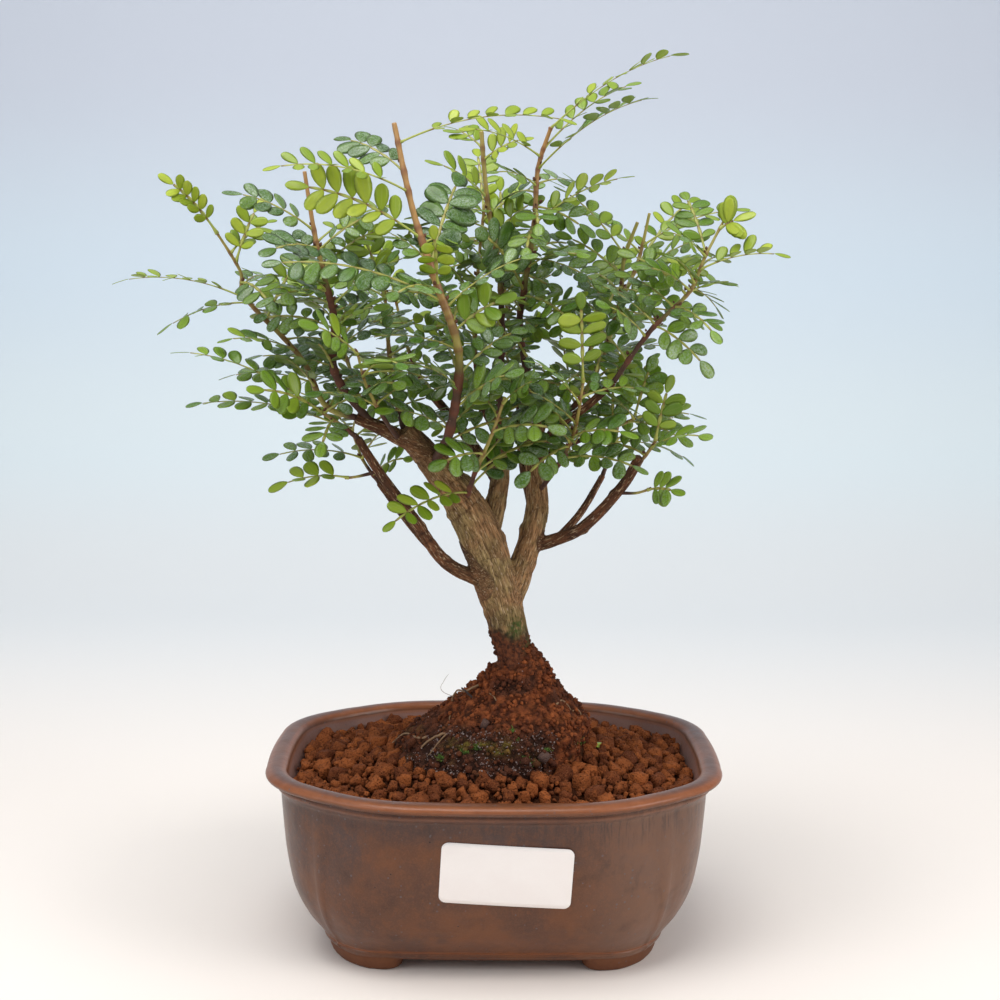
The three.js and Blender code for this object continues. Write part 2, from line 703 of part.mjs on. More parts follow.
// A further frond reaches away from the tree's middle and turns about its stem until it has room
function furtherFrond(shoot, owner, index) {
  const share = 0.28 + (0.66 * (index + 0.5)) / Math.max(shoot.more, 1) + draw(-0.05, 0.05);
  const foot = along(shoot.way, share);
  const length = draw(27, 37);
  const rise = draw(-0.1, 0.45);
  const face = draw(5, 40);
  const leaflet = draw(4.8, 5.6);
  const outward = Math.atan2(foot[1] - 2, foot[0]);
  const copies = [];
  for (const size of [1, 0.84, 0.7])
    for (let turn = 0; turn < 9; turn++) {
      const bearing = outward + (turn + index) * goldenAngle * 0.5;
      const climb = rise + 0.25 * ((turn % 3) - 1);
      const reach = length * size;
      const flat = reach * Math.cos(climb);
      const tip = [
        foot[0] + flat * Math.cos(bearing),
        foot[1] + flat * Math.sin(bearing),
        foot[2] + reach * Math.sin(climb),
      ];
      copies.push({ foot, tip, face, leaflet });
    }
  return firstWithRoom(copies, owner);
}

function pairsOf(frond) {
  const length = frondLength(frond);
  if (length < 38) return 2;
  return length < 56 ? 3 : 4;
}

// A thin arched blade cut to its rib into opposite leaflets and one at the tip
function frondSolid(frond) {
  const pairs = pairsOf(frond);
  const step = (blade.lastPair - blade.petiole) / pairs;
  const right = [[0, blade.halfRib], [blade.petiole, blade.halfRib]];
  for (let k = 0; k < pairs; k++) {
    const start = blade.petiole + k * step;
    const wide = frond.leaflet * (k === 0 ? 0.82 : 1);
    right.push([start + 0.26 * step, 0.8 * wide], [start + 0.84 * step, wide], [start + step, blade.halfRib]);
  }
  right.push([0.94, 0.46 * frond.leaflet]);
  const left = right.map(([t, s]) => [t, s]).reverse();
  const outline = [...right.map(([t, s]) => [t, -s]), [1, 0], ...left];
  const length = frondLength(frond);
  const flat = outline.map(([t, s]) => new THREE.Vector2(t * length, s));
  const faces = THREE.ShapeUtils.triangulateShape(flat, []);
  const space = frondSpace(frond);
  const count = outline.length;
  const half = blade.thick / 2;
  const points = [half, -half].flatMap((n) => outline.map(([t, s]) => space(t, s, n)));
  const triangles = faces.flatMap(([a, b, c]) => [[a, b, c], [c + count, b + count, a + count]]);
  for (let i = 0; i < count; i++) {
    const next = (i + 1) % count;
    triangles.push([next, i, i + count], [next, i + count, next + count]);
  }
  return solidFromPoints(points, triangles);
}

// Assembly
const trunk = joined(Object.keys(limbs).map((name) => limbTube(name)));
const barkClearance = joined(Object.keys(limbs).map((name) => limbTube(name, gap)));

Object.entries(limbs).forEach(([name, way]) => takeStem(way, name));
Object.entries(shoots).forEach(([name, shoot]) => takeStem(shootWay(shoot), name));

const fronds = Object.fromEntries(Object.keys(shoots).map((name) => [name, []]));
for (const [name, shoot] of Object.entries(shoots))
  for (const known of shoot.fronds) fronds[name].push(knownFrond(shoot, name, known));
for (const [name, shoot] of Object.entries(shoots))
  for (let i = 0; i < shoot.more; i++) fronds[name].push(furtherFrond(shoot, name, i));

function leafyShootSolid(name) {
  const grown = fronds[name].filter(Boolean).map(frondSolid);
  const carrier = shoots[shoots[name].from];
  const kept = carrier ? barkClearance.add(stemSolid(carrier, gap)) : barkClearance;
  return largestBody(joined([stemSolid(shoots[name]), ...grown]).subtract(kept));
}

const tree = new THREE.Group();
tree.add(
  mesh("pot", potSolid(), 0x5a3a2c, 0.35),
  mesh("label", labelSolid(), 0xf2f1ee, 0.6),
  mesh("drain_mesh", drainMeshSolid(), 0x2a2c2a, 0.7),
  mesh("soil", soilSolid(), 0x6b3a26, 0.95),
  mesh("root_mound", moundSolid(), 0x3f2418, 0.95),
  mesh("trunk", trunk, 0x6e4a33, 0.85),
);
for (const name of Object.keys(shoots))
  tree.add(mesh(`shoot_${name}`, leafyShootSolid(name), 0x3f7a2e, 0.45));

const bounds = new THREE.Box3().setFromObject(tree);
const centre = bounds.getCenter(new THREE.Vector3());
const part = new THREE.Group();
tree.position.set(-centre.x, -centre.y, -bounds.min.z);
part.add(tree);

export default part;
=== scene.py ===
"""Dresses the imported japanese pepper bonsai.

Places and sizes are millimetres in the plan of the pot, with the front towards -Y, and become metres where a
mesh is made. Fronds are placed by the same rules and values as the solids' fronds, so each leafy shoot stands
where its solid does. The stems run the same ways, a little slimmer than in the solids."""

from math import atan2, ceil, cos, dist, exp, floor, hypot, pi, radians, sin, sqrt

import bpy
import numpy as np
from mathutils import Matrix, Vector, noise
from mathutils.kdtree import KDTree


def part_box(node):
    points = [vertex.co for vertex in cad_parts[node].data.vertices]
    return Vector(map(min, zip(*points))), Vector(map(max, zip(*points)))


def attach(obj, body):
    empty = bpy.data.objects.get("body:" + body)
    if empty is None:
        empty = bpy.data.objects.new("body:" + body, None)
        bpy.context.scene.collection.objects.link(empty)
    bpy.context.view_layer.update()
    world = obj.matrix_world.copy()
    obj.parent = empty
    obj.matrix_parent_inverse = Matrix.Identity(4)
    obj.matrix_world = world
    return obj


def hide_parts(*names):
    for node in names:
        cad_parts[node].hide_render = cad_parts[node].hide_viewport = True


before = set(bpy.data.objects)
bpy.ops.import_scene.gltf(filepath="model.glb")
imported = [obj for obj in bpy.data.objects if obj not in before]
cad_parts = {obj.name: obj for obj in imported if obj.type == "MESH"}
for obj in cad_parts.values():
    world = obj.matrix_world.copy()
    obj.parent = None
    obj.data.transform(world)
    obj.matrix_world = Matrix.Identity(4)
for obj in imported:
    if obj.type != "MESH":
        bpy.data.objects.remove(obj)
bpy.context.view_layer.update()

# Sizes
MIDDLE_X, MIDDLE_Y = 1.2, 8.2  # the pot's middle, to the right of the trunk's foot and behind it
POT = dict(
    half_width=74.3,
    half_depth=63.2,
    half_front=37.3,
    half_end=36.5,
    bow=0.8,
    corner_reach=17.6,
    drain_radius=7,
)
# Inset from the lip's outline and height: the foot band, the body, the ridge and the neck under the bead
POT_OUTSIDE = [
    (20.9, 4.3), (20.4, 4.6), (19.3, 5.6), (18.7, 6.6), (18.9, 7.2), (18.3, 7.9), (17.5, 9), (15.9, 11),
    (13.9, 13.5), (12.4, 15.9), (11.2, 18), (9.8, 21), (8.6, 24.5), (7.6, 29), (6.6, 35), (6, 40.5),
    (5.5, 46), (5.1, 51), (4.9, 53.6), (4.2, 54.7), (3.5, 55.5), (3.3, 56.2), (3.5, 57.1),
]
POT_INSIDE = [
    (7.1, 59), (7.7, 56.8), (8.7, 53.5), (9.8, 50), (11, 46), (12.7, 38), (14.5, 26), (18, 17), (24, 12),
]
BEAD = dict(inset=3.5, height=59.3, reach=3.5, rise=1.8)  # the rolled lip's middle and half sizes
FOOT_TOP = [
    (26.5, 38), (28.5, 45.1), (33.1, 45.2), (41.6, 43.4), (49.4, 37.5), (54.7, 29.1), (56.3, 20.4),
    (56, 15.5), (43, 14.5), (31, 28),
]
FOOT_FLOOR = [
    (28.5, 36.5), (30.5, 40.5), (34, 41.6), (40.2, 40.6), (47.5, 35), (51.6, 27.6), (53, 20.5), (52.5, 17.3),
    (43.5, 17.3), (33.5, 29),
]
FOOT_HEIGHT = 9
FOOT_EDGES = [  # height and how far the foot's outline is drawn in there
    (0, 0.94), (0.3, 0.975), (0.9, 1), (2, 1.01), (3.4, 1.01), (4.6, 1), (6, 0.995), (7.4, 0.97),
]
LABEL = dict(x=5.3, z=37.6, width=40.4, height=19.9, tilt=-3.3, thick=0.28, corner=2.2)
SOIL = dict(edge_height=54.8, mound_height=60.6)
# Centre x, radius and height of the mound's rings, from its sunk underside up to the trunk
MOUND_RINGS = [
    (0, 26, 36), (0, 31.5, 50), (0, 33, 60.5), (1.3, 31, 65), (5.4, 27.6, 71.5), (6.8, 22.2, 77),
    (8.6, 13.6, 85), (9.4, 9.6, 91),
]
MOUND_DEPTH_SHARE = 0.92
MOUND_SET_BACK = 4.5  # the middle of the mound's foot lies this far behind the trunk's foot
BLADE = dict(arch=0.022, petiole=0.2, last_pair=0.84)
CLEARANCE = 3  # between the points that stand for fronds and stems
GOLDEN_ANGLE = 2.39996
LEAFLET_SPACING = 4.8  # between the pairs of leaflets on a frond
# Fronds with their own look, by shoot and number: spacing of the pairs, fold of the leaflets and tilt of the
# blade to the front, both in degrees
OWN_LOOKS = {
    ("far_left", 0): (3.3, 50, 70),
    ("far_left", 1): (4.3, 14, 5),
    ("right_mast", 0): (4.1, 16, 8),
    ("right_mast", 2): (4.1, 14, 12),
    ("right_mast", 3): (4.1, 16, 16),
    ("far_right", 2): (4.4, 30, 20),
}

# Trunk and woody limbs: x, y, z and radius from foot to end. The right reach is slimmer than its solid
LIMBS = {
    "trunk": [
        [8.3, 0, 68, 7], [8.3, 0, 88, 6.4], [7.4, 0, 97, 6], [5.2, 0, 106, 6.2], [2.4, -0.5, 116, 6.9],
        [-1, -1, 127, 7],
    ],
    "left": [
        [3, 0, 114, 5.6], [-1.5, -1, 129, 7.2], [-8, -3, 144, 6.6], [-17, -6, 157, 4.9], [-28, -9, 170, 3.7],
    ],
    "heart": [[-2, 1, 132, 4], [2, 6, 148, 3.3], [3, 9, 160, 2.7], [2, 13, 174, 1.9]],
    "right": [
        [4.5, 1, 110, 4.6], [9.2, 3, 122, 4.3], [15, 8, 142, 3.8], [14, 13, 163, 2.9], [17, 15, 173, 2.2],
    ],
    "upper_left": [[-22, -8, 164, 2.9], [-34, -10, 170, 2.3], [-43, -12, 174, 1.8]],
    "lower_left": [
        [-3, -2, 120, 2.6], [-15, -6, 127, 2.1], [-25, -12, 142, 1.8], [-36, -16, 158, 1.5],
        [-42, -17, 168, 1.3],
    ],
    "lower_left_twin": [[-14, -5, 127, 1.5], [-21, 4, 131, 1.4], [-29, 10, 139, 1.2], [-38, 15, 150, 1]],
    "lower_right": [[13.5, 7, 130, 2.3], [29, 0, 137, 1.9], [41, -8, 151, 1.7], [47, -12, 162, 1.6]],
    "lower_right_twin": [[23, 3, 134.5, 1.4], [30, 8, 142, 1.2], [37, 14, 153, 1]],
    "right_reach": [[15, 12, 158, 2], [20, 2, 169, 1.4], [30, -11, 178, 1.25], [38, -16, 186, 1.1]],
    "back": [[15, 8, 140, 2.6], [11, 22, 156, 2], [9, 36, 172, 1.4]],
    "back_left": [[2, 8, 152, 2.2], [-11, 22, 168, 1.7], [-24, 33, 182, 1.3]],
}

# Leafy shoots: the stem's radius at both ends, how many more fronds it carries, its way, and the fronds that
# it is known by: share along the stem, tip x, y and z, tilt of the blade to the front in degrees, leaflet
# length, and age from 0 for just unfolded to 1 for old
SHOOTS = {
    "far_left": dict(radii=(1.4, 0.7), more=1, way=[
        (-43, -12, 174), (-53, -11, 178), (-61, -8, 193), (-78, -6, 211), (-80, -6, 220), (-87, -8, 232),
    ], fronds=[
        (0.98, -102, -14, 248, 70, 4.4, 0), (0.6, -119, -10, 216, 5, 4.6, 0.12),
        (0.84, -74, -2, 241, 60, 4.6, 0.15), (0.42, -84, -24, 198, 25, 5, 0.4),
        (0.52, -60, 4, 226, 60, 5, 0.3), (0.3, -86, -12, 186, 10, 5, 0.6),
    ]),
    "left_mast": dict(radii=(1.7, 1), more=2, way=[
        (-38, -11, 172), (-49, -16, 188), (-49, -18, 205), (-52, -20, 219), (-55, -18, 232),
        (-58, -16, 250),
    ], fronds=[
        (0.8, -81, -24, 243, 30, 5.4, 0.8), (0.72, -68, -38, 224, 40, 5.4, 0.9),
        (0.62, -34, -6, 233, 30, 5, 0.35), (0.52, -70, -34, 209, 20, 5.4, 0.7),
        (0.46, -70, 4, 212, 15, 5, 0.5), (0.36, -32, -36, 209, 35, 5.4, 0.3),
    ]),
    "tall_front": dict(radii=(2, 1.3), more=1, way=[
        (-19, -7, 159), (-13, -22, 171), (-10, -33, 195), (-17, -35, 217), (-24, -30, 238), (-30, -22, 264),
    ], fronds=[
        (0.72, -60, -42, 244, 65, 6.6, 0), (0.84, -65, -34, 248, 8, 4.8, 0.25),
        (0.88, -48, -14, 260, 35, 5.4, 0.85), (0.94, 25, -27, 264, 18, 5, 0.08),
        (0.54, -67, -46, 221, 40, 5.6, 0.9), (0.64, -10, -28, 249, 75, 6.8, 1),
        (0.32, -24, -46, 192, 30, 5.6, 0.6), (0.26, 8, -44, 190, 45, 6, 0.55),
        (0.46, 6, -40, 212, 60, 6, 0.35), (0.58, -17, -48, 231, 60, 4.4, 0.05),
        (0.2, -34, -36, 178, 30, 5.6, 0.6),
    ]),
    "centre_mast": dict(radii=(1.5, 1.2), more=1, way=[
        (2, 13, 174), (3, 8, 198), (2, 6, 220), (-2, 8, 243), (-4, 10, 265),
    ], fronds=[
        (0.5, -15, 0, 229, 30, 5.4, 0.5), (0.62, 15, -2, 243, 40, 5, 0.3),
        (0.76, -20, -4, 254, 45, 5.4, 0.15), (0.88, 12, 2, 262, 50, 4.8, 0.1),
        (0.92, -16, 18, 267, 20, 5, 0.3), (0.4, 20, -8, 206, 40, 5, 0.55),
    ]),
    "centre_back": dict(radii=(1.3, 0.8), more=3, way=[
        (2, 12, 165), (-4, 18, 178), (-6, 21, 198), (-5, 25, 222), (-3, 28, 243),
    ], fronds=[
        (0.95, -6, 44, 262, 20, 5, 0.2), (0.7, -34, 24, 236, 15, 5, 0.4),
    ]),
    "right_mast": dict(radii=(1.7, 1.2), more=1, way=[
        (15, 14, 169), (9, 6, 200), (10, 0, 214), (13, -4, 235), (14, -4, 252), (18, -4, 265),
    ], fronds=[
        (0.99, 59, -10, 287, 15, 5, 0.08), (0.85, -10, -16, 263, 25, 5, 0.1),
        (0.88, 46, 6, 280, 30, 5, 0.35), (0.8, 48, -14, 271, 60, 5.2, 0.55),
        (0.6, 43, -16, 249, 30, 5.2, 0.1), (0.4, -4, -24, 231, 75, 6, 0.95),
        (0.66, 32, -14, 231, 45, 5.4, 0.65), (0.5, 36, -12, 214, 30, 5.4, 0.6),
        (0.74, 32, 14, 247, 30, 5, 0.7),
    ]),
    "right_fork": dict(radii=(1.5, 1), more=1, way=[
        (17, 15, 172), (27, 14, 176), (35, 10, 190), (41, 6, 210), (42, 2, 224), (46, 0, 236),
    ], fronds=[
        (0.82, 21, -8, 247, 45, 5.2, 0.35), (0.72, 21, -12, 232, 40, 5.2, 0.4),
        (0.56, 24, -4, 221, 30, 5, 0.6), (0.66, 58, -6, 208, 35, 5, 0.5), (0.46, 50, 6, 186, 25, 5, 0.7),
    ]),
    "right_fork_back": dict(radii=(1.2, 0.9), more=1, way=[
        (36, 9.5, 193), (42, 17, 210), (48, 22, 223), (52, 24, 240),
    ], fronds=[
        (0.78, 84, 20, 241, 25, 4.8, 0.3), (0.62, 70, 34, 246, 35, 4.8, 0.3),
        (0.46, 68, 12, 231, 40, 5, 0.45),
    ]),
    "far_right": dict(radii=(1.7, 1), more=0, way=[
        (38, -16, 186), (49, -18, 202), (61, -16, 214), (66, -14, 225), (73, -10, 238),
    ], fronds=[
        (0.9, 80, -14, 237, 60, 5.6, 0.05), (0.76, 61, -4, 245, 50, 4.8, 0.45),
        (0.66, 91, -22, 225, 20, 4.8, 0.15), (0.48, 40, -14, 226, 40, 5.2, 0.55),
        (0.4, 68, -38, 199, 15, 5, 0.6), (0.28, 68, -24, 188, 35, 5.2, 0.65),
        (0.22, 32, -34, 210, 45, 5.4, 0.7), (0.56, 52, -38, 224, 45, 5.2, 0.45),
        (0.52, 74, 2, 206, 30, 5, 0.5),
    ]),
    "low_right_edge": dict(radii=(1.1, 0.7), more=1, way=[
        (17, 11, 160), (30, 5, 166), (41, 0, 171), (47, -3, 174),
    ], fronds=[
        (0.96, 68, -8, 174, 20, 5, 0.5), (0.9, 52, 8, 192, 50, 5.2, 0.6), (0.8, 64, -20, 165, 25, 5, 0.55),
        (0.6, 40, 16, 186, 35, 5, 0.7),
    ]),
    "low_right_tip": dict(radii=(0.9, 0.7), more=0, way=[
        (45, -11, 158), (49, -13, 163), (52, -14, 168),
    ], fronds=[
        (0.9, 56, -14, 186, 55, 4.8, 0.35), (0.7, 66, -26, 170, 35, 4.6, 0.45),
    ]),
    "low_right_twig": dict(radii=(0.8, 0.6), more=0, way=[
        (41, -8, 150), (46, -12, 150.5), (50, -14, 152),
    ], fronds=[
        (0.9, 60, -22, 151, 60, 4.6, 0.5),
    ]),
    "low_right_back": dict(radii=(1, 0.7), more=2, way=[
        (37, 14, 153), (41, 19, 164), (44, 24, 176),
    ], fronds=[
        (0.9, 56, 34, 192, 25, 5, 0.45), (0.5, 66, 22, 172, 20, 5, 0.6),
    ]),
    "low_left_tip": dict(radii=(1.2, 0.7), more=0, way=[
        (-42, -17, 168), (-48, -20, 173), (-55, -22, 178),
    ], fronds=[
        (0.3, -95, -22, 178, 12, 5.2, 0.45), (0.95, -97, -10, 195, 15, 5, 0.5),
        (0.6, -52, -36, 164, 40, 5, 0.6), (0.8, -72, -40, 184, 35, 5.4, 0.4),
    ]),
    "low_left_back": dict(radii=(0.9, 0.6), more=2, way=[
        (-38, 15, 150), (-44, 19, 158), (-48, 24, 168),
    ], fronds=[
        (0.9, -70, 32, 180, 20, 5, 0.5), (0.5, -76, 12, 158, 20, 5, 0.6),
    ]),
    "low_left_frond": dict(radii=(0.8, 0.6), more=0, way=[
        (-37, -16, 157), (-42, -18, 156), (-46, -19, 155.5),
    ], fronds=[
        (0.8, -69, -22, 152, 20, 5.4, 0.12),
    ]),
    "left_inner": dict(radii=(1.3, 0.7), more=5, way=[
        (-28, -7, 169), (-32, -2, 184), (-34, 3, 200), (-35, 6, 214),
    ], fronds=[
        (0.9, -44, 0, 236, 40, 5.2, 0.3),
    ]),
    "left_back": dict(radii=(1.2, 0.7), more=4, way=[
        (-41, -10, 174), (-45, 4, 184), (-50, 16, 196), (-54, 24, 206),
    ], fronds=[
        (0.95, -72, 34, 222, 20, 5, 0.35),
    ]),
    "left_front": dict(radii=(1.1, 0.6), more=2, way=[
        (-30, -12, 168), (-34, -24, 176), (-38, -34, 186), (-40, -40, 196),
    ], fronds=[
        (0.95, -54, -52, 204, 40, 5.4, 0.4), (0.6, -26, -50, 186, 45, 5.4, 0.6),
    ]),
    "centre_front": dict(radii=(1.2, 0.7), more=2, way=[
        (-8, -8, 148), (-5, -18, 158), (0, -26, 170), (4, -30, 182),
    ], fronds=[
        (0.1, -33, -28, 141, 30, 5.2, 0.2), (0.5, -18, -34, 160, 55, 5.4, 0.7),
        (0.7, 22, -38, 172, 50, 5.6, 0.6), (0.95, 6, -44, 204, 65, 5.8, 0.3),
    ]),
    "right_front": dict(radii=(1.2, 0.7), more=3, way=[
        (15.5, 9, 148), (22, -8, 160), (26, -20, 172), (28, -28, 188),
    ], fronds=[
        (0.5, 8, -26, 154, 45, 5.4, 0.7), (0.6, 44, -30, 170, 45, 5.4, 0.55),
        (0.95, 26, -42, 212, 60, 5.6, 0.25),
    ]),
    "back_centre": dict(radii=(1.3, 0.8), more=6, way=[
        (9, 36, 172), (8, 42, 188), (5, 45, 206), (3, 46, 226),
    ], fronds=[
        (0.95, 2, 52, 252, 10, 5, 0.2),
    ]),
    "back_right": dict(radii=(1.2, 0.7), more=5, way=[
        (10, 28, 163), (22, 34, 174), (32, 38, 190), (37, 40, 208),
    ], fronds=[
        (0.95, 48, 46, 232, 10, 5, 0.25),
    ]),
    "back_left": dict(radii=(1.2, 0.7), more=4, way=[
        (-24, 33, 182), (-30, 37, 196), (-34, 39, 212),
    ], fronds=[
        (0.95, -42, 44, 234, 10, 5, 0.25),
    ]),
}

# How each stem looks: the share up to which it is woody, how orange its upper part is, whether it ends in a
# cut, and its radius as a share of its solid's
STEM_LOOKS = {
    "far_left": (0.12, 0.3, False, 0.9),
    "left_mast": (0.58, 0.85, True, 0.95),
    "tall_front": (0.4, 0.8, True, 0.95),
    "centre_mast": (0.5, 0.35, True, 0.9),
    "right_mast": (0.5, 0.85, True, 0.8),
    "right_fork": (0.3, 0.1, True, 0.85),
    "right_fork_back": (0, 0.15, True, 0.85),
    "far_right": (0.42, 0.15, True, 0.62),
}
PLAIN_STEM_LOOK = (0.45, 0.3, False, 0.9)

# Shapes that are only seen close up
BARK_WARTS = [  # limb, share along it, bearing about it in degrees, radius
    ("trunk", 0.62, 255, 1.2), ("trunk", 0.74, 350, 1.8), ("trunk", 0.9, 20, 1.4), ("right", 0.3, 10, 1.2),
    ("trunk", 0.5, 150, 1.7), ("trunk", 0.82, 250, 1.5), ("trunk", 0.69, 170, 1.5), ("left", 0.62, 20, 1.6),
    ("right", 0.42, 190, 1.5), ("left", 0.3, 20, 1.4), ("left", 0.52, 200, 1.6),
    ("lower_left", 0.25, 100, 0.9), ("lower_left", 0.45, 60, 1.1), ("lower_right", 0.35, 330, 1),
    ("lower_right", 0.62, 150, 0.9),
]
# Roots over the mound: x, height of the slope and lift over it, then the radius at both ends
ROOTS_IN_FRONT = [
    ([(-4, 84.5, 1.6), (-8, 81.5, 2.8), (-12, 79, 2.4), (-13.5, 75.5, -0.3)], 0.42, 0.2),
    ([(-9.5, 80.5, 4.2), (-7.6, 81.5, 1.8), (-5.5, 82, -0.4)], 0.3, 0.42),
    ([(-19, 70.5, -0.4), (-23, 68, 0.7), (-29, 65.5, 0.9), (-34, 62, -0.5)], 0.5, 0.22),
    ([(-14, 72.4, -0.5), (-16.5, 70.8, 0.5), (-20, 68.3, 0.6), (-25.5, 64, -0.4)], 0.55, 0.28),
    ([(-11.5, 73, -0.5), (-13.5, 71.6, 0.5), (-16.2, 69.4, 0.5), (-21, 65, -0.5)], 0.42, 0.2),
    ([(-1.5, 84.6, -0.4), (0.5, 83.4, 0.5), (3, 81.3, -0.4)], 0.32, 0.16),
    ([(21.5, 80.9, -0.3), (23.5, 80.4, 0.7), (26.5, 78.2, -0.3)], 0.36, 0.2),
    ([(27, 77.6, -0.3), (29, 76, 0.6), (31, 73.3, -0.4)], 0.32, 0.16),
    ([(25.2, 72, -0.4), (26.8, 69.5, 0.6), (28.6, 63.6, -0.4)], 0.5, 0.26),
    ([(-12, 79, 1), (-15.5, 78, 3.5), (-16.5, 78, 6), (-14, 79, 8.5)], 0.09, 0.05),
]
ROOTS_BEHIND = [
    ([(-2, 80, -0.4), (-9, 76, 0.9), (-16, 71, 0.7), (-22, 66, -0.4)], 0.6, 0.3),
    ([(14, 80, -0.4), (19, 76, 0.9), (24, 70, 0.7), (27, 65, -0.4)], 0.55, 0.25),
]
STONES = [(-1.8, 76.4, 1.7), (17.1, 66.2, 2.2)]  # x, height on the mound's front and radius
# Tufts of moss: x, height of the slope and how wide the tuft spreads
MOSS_IN_FRONT = [
    (-4, 69.8, 1.6), (3, 67.6, 2.2), (11, 66.8, 2.2), (14, 64.8, 2.4), (-8, 68, 1.6), (29, 67.5, 2.2),
    (9, 71.5, 1.6), (-16, 65.5, 1.8), (18, 68, 1.6), (7, 74.5, 1.2),
]
MOSS_BEHIND = [(10, 70, 3), (22, 68, 2.4), (-8, 69, 2.6), (-24, 65, 2.6)]
# More fronds fill the crown: one for each step of a stem, at a clearance, with tips inside an oval room
FILLING = dict(step=6.5, clearance=1.7, middle=(-4, 0, 212), half=(84, 46, 55), lengths=(19, 31))
GRAIN_TRIES = 9000  # thrown for each of the two sizes of grain
GRAIN_CELL = 7.6  # side of the squares that the search for a grain's neighbours uses
SLANT = 0.7  # what lies on the mound's slope is lifted by this share outwards and upwards
FISSURE_SIZE = 0.0011  # of the bark, in metres
CAMERA = dict(place=(2.3, -504.83, 213.68), lens=56.2, sensor=36, down=7.59, roll=-0.345)


# Vectors as plain tuples
def plus(p, q, times=1):
    return tuple(a + b * times for a, b in zip(p, q))


def dot(p, q):
    return p[0] * q[0] + p[1] * q[1] + p[2] * q[2]


def cross(p, q):
    return (p[1] * q[2] - p[2] * q[1], p[2] * q[0] - p[0] * q[2], p[0] * q[1] - p[1] * q[0])


def unit(p):
    size = sqrt(dot(p, p))
    return tuple(v / size for v in p)


def scaled(p, share):
    return tuple(v * share for v in p)


def separation(p, q):
    return sqrt(sum((a - b) ** 2 for a, b in zip(p[:3], q[:3])))


def blend(a, b, share):
    return a + (b - a) * share


def ramp(low, high, value):
    """A soft step: 0 up to low and 1 from high on, or the other way round where low is above high."""
    share = min(max((value - low) / (high - low), 0), 1)
    return share * share * (3 - 2 * share)


def bell(value):
    """A bell curve: 1 at 0, and next to nothing beyond 2."""
    return exp(-value ** 2)


class Draws:
    """Seeded draws, the same on every run."""

    def __init__(self, seed):
        self.seed = seed

    def __call__(self, low, high):
        self.seed = (self.seed * 1664525 + 1013904223) % 4294967296
        return low + (high - low) * self.seed / 4294967296


def waves_at(*place):
    """Smooth random waves in space, between about -1 and 1."""
    return noise.noise(Vector(place))


# Stems as ways of points
def along(way, share):
    """A point of a smooth line through all the points of a way: share 0 is its foot and 1 its end."""
    place = min(max(share, 0), 1) * (len(way) - 1)
    i = min(floor(place), len(way) - 2)
    f = place - i
    p0, p1, p2, p3 = way[max(i - 1, 0)], way[i], way[i + 1], way[min(i + 2, len(way) - 1)]
    return tuple(
        0.5 * (2 * b + (c - a) * f + (2 * a - 5 * b + 4 * c - d) * f * f
               + (3 * b - a - 3 * c + d) * f * f * f)
        for a, b, c, d in zip(p0, p1, p2, p3)
    )


def way_length(way):
    return sum(separation(p, q) for p, q in zip(way, way[1:]))


def with_radii(way, first, end):
    """A way with its radius, which runs evenly from the first to the end, as the fourth value."""
    last = len(way) - 1
    return [[*p, first + (end - first) * i / last] for i, p in enumerate(way)]


def shoot_way(shoot):
    return with_radii(shoot["way"], *shoot["radii"])


def stations(way, step):
    """Points of a way about a step apart, each with its radius, its axes and its distance from the foot."""
    count = max(3, round(way_length(way) / step)) + 1
    side = (1, 0, 0)
    found = []
    walked = 0
    for r in range(count):
        share = r / (count - 1)
        x, y, z, radius = along(way, share)
        ahead = along(way, share + 0.01)
        behind = along(way, share - 0.01)
        forward = unit(plus(ahead[:3], behind[:3], -1))
        side = unit(plus(side, forward, -dot(side, forward)))
        if found:
            walked += separation(found[-1][0], (x, y, z))
        found.append(((x, y, z), radius, side, cross(forward, side), forward, walked, share))
    return found


# Fronds: the rules that place the solids' fronds, with the same draws in the same order
class Room:
    """Points that stand for the stems and fronds that are already placed."""

    def __init__(self):
        self.cells = {}

    def take(self, point, owner):
        key = tuple(floor(v / CLEARANCE) for v in point)
        self.cells.setdefault(key, []).append((point, owner))

    def take_stem(self, way, owner):
        steps = ceil(way_length(way) / 2)
        for s in range(steps + 1):
            x, y, z, radius = along(way, s / steps)
            self.take((x, y, z), owner)
            if radius > 2:
                for i in range(8):
                    angle = pi * i / 4
                    reach = radius - 0.5
                    self.take((x + reach * cos(angle), y + reach * sin(angle), z), owner)

    def is_free(self, point, owner, foot, clearance):
        i, j, k = (floor(v / CLEARANCE) for v in point)
        for a in range(i - 1, i + 2):
            for b in range(j - 1, j + 2):
                for c in range(k - 1, k + 2):
                    for other, other_owner in self.cells.get((a, b, c), ()):
                        if separation(point, other) >= clearance:
                            continue
                        if other_owner != owner or separation(other, foot) >= 9:
                            return False
        return True

    def first_fit(self, copies, owner, clearance=CLEARANCE):
        """The first of some changed copies of a frond that has room, or none."""
        for frond in copies:
            points = list(frond_points(frond))
            if all(self.is_free(point, owner, frond["foot"], clearance) for point in points):
                for point in points:
                    self.take(point, owner)
                return frond
        return None


def frond_frame(frond, t):
    """The middle of the blade at a share t of its length, with the ways forward, across and up."""
    foot = frond["foot"]
    run = plus(frond["tip"], foot, -1)
    lift = 0.09 * sqrt(dot(run, run))
    face = radians(frond["face"])
    towards = (0, -sin(face), cos(face))
    forward = unit((run[0], run[1], run[2] + lift * 4 * (1 - 2 * t)))
    up = unit(plus(towards, forward, -dot(towards, forward)))
    x, y, z = plus(foot, run, t)
    return (x, y, z + lift * 4 * t * (1 - t)), forward, cross(up, forward), up


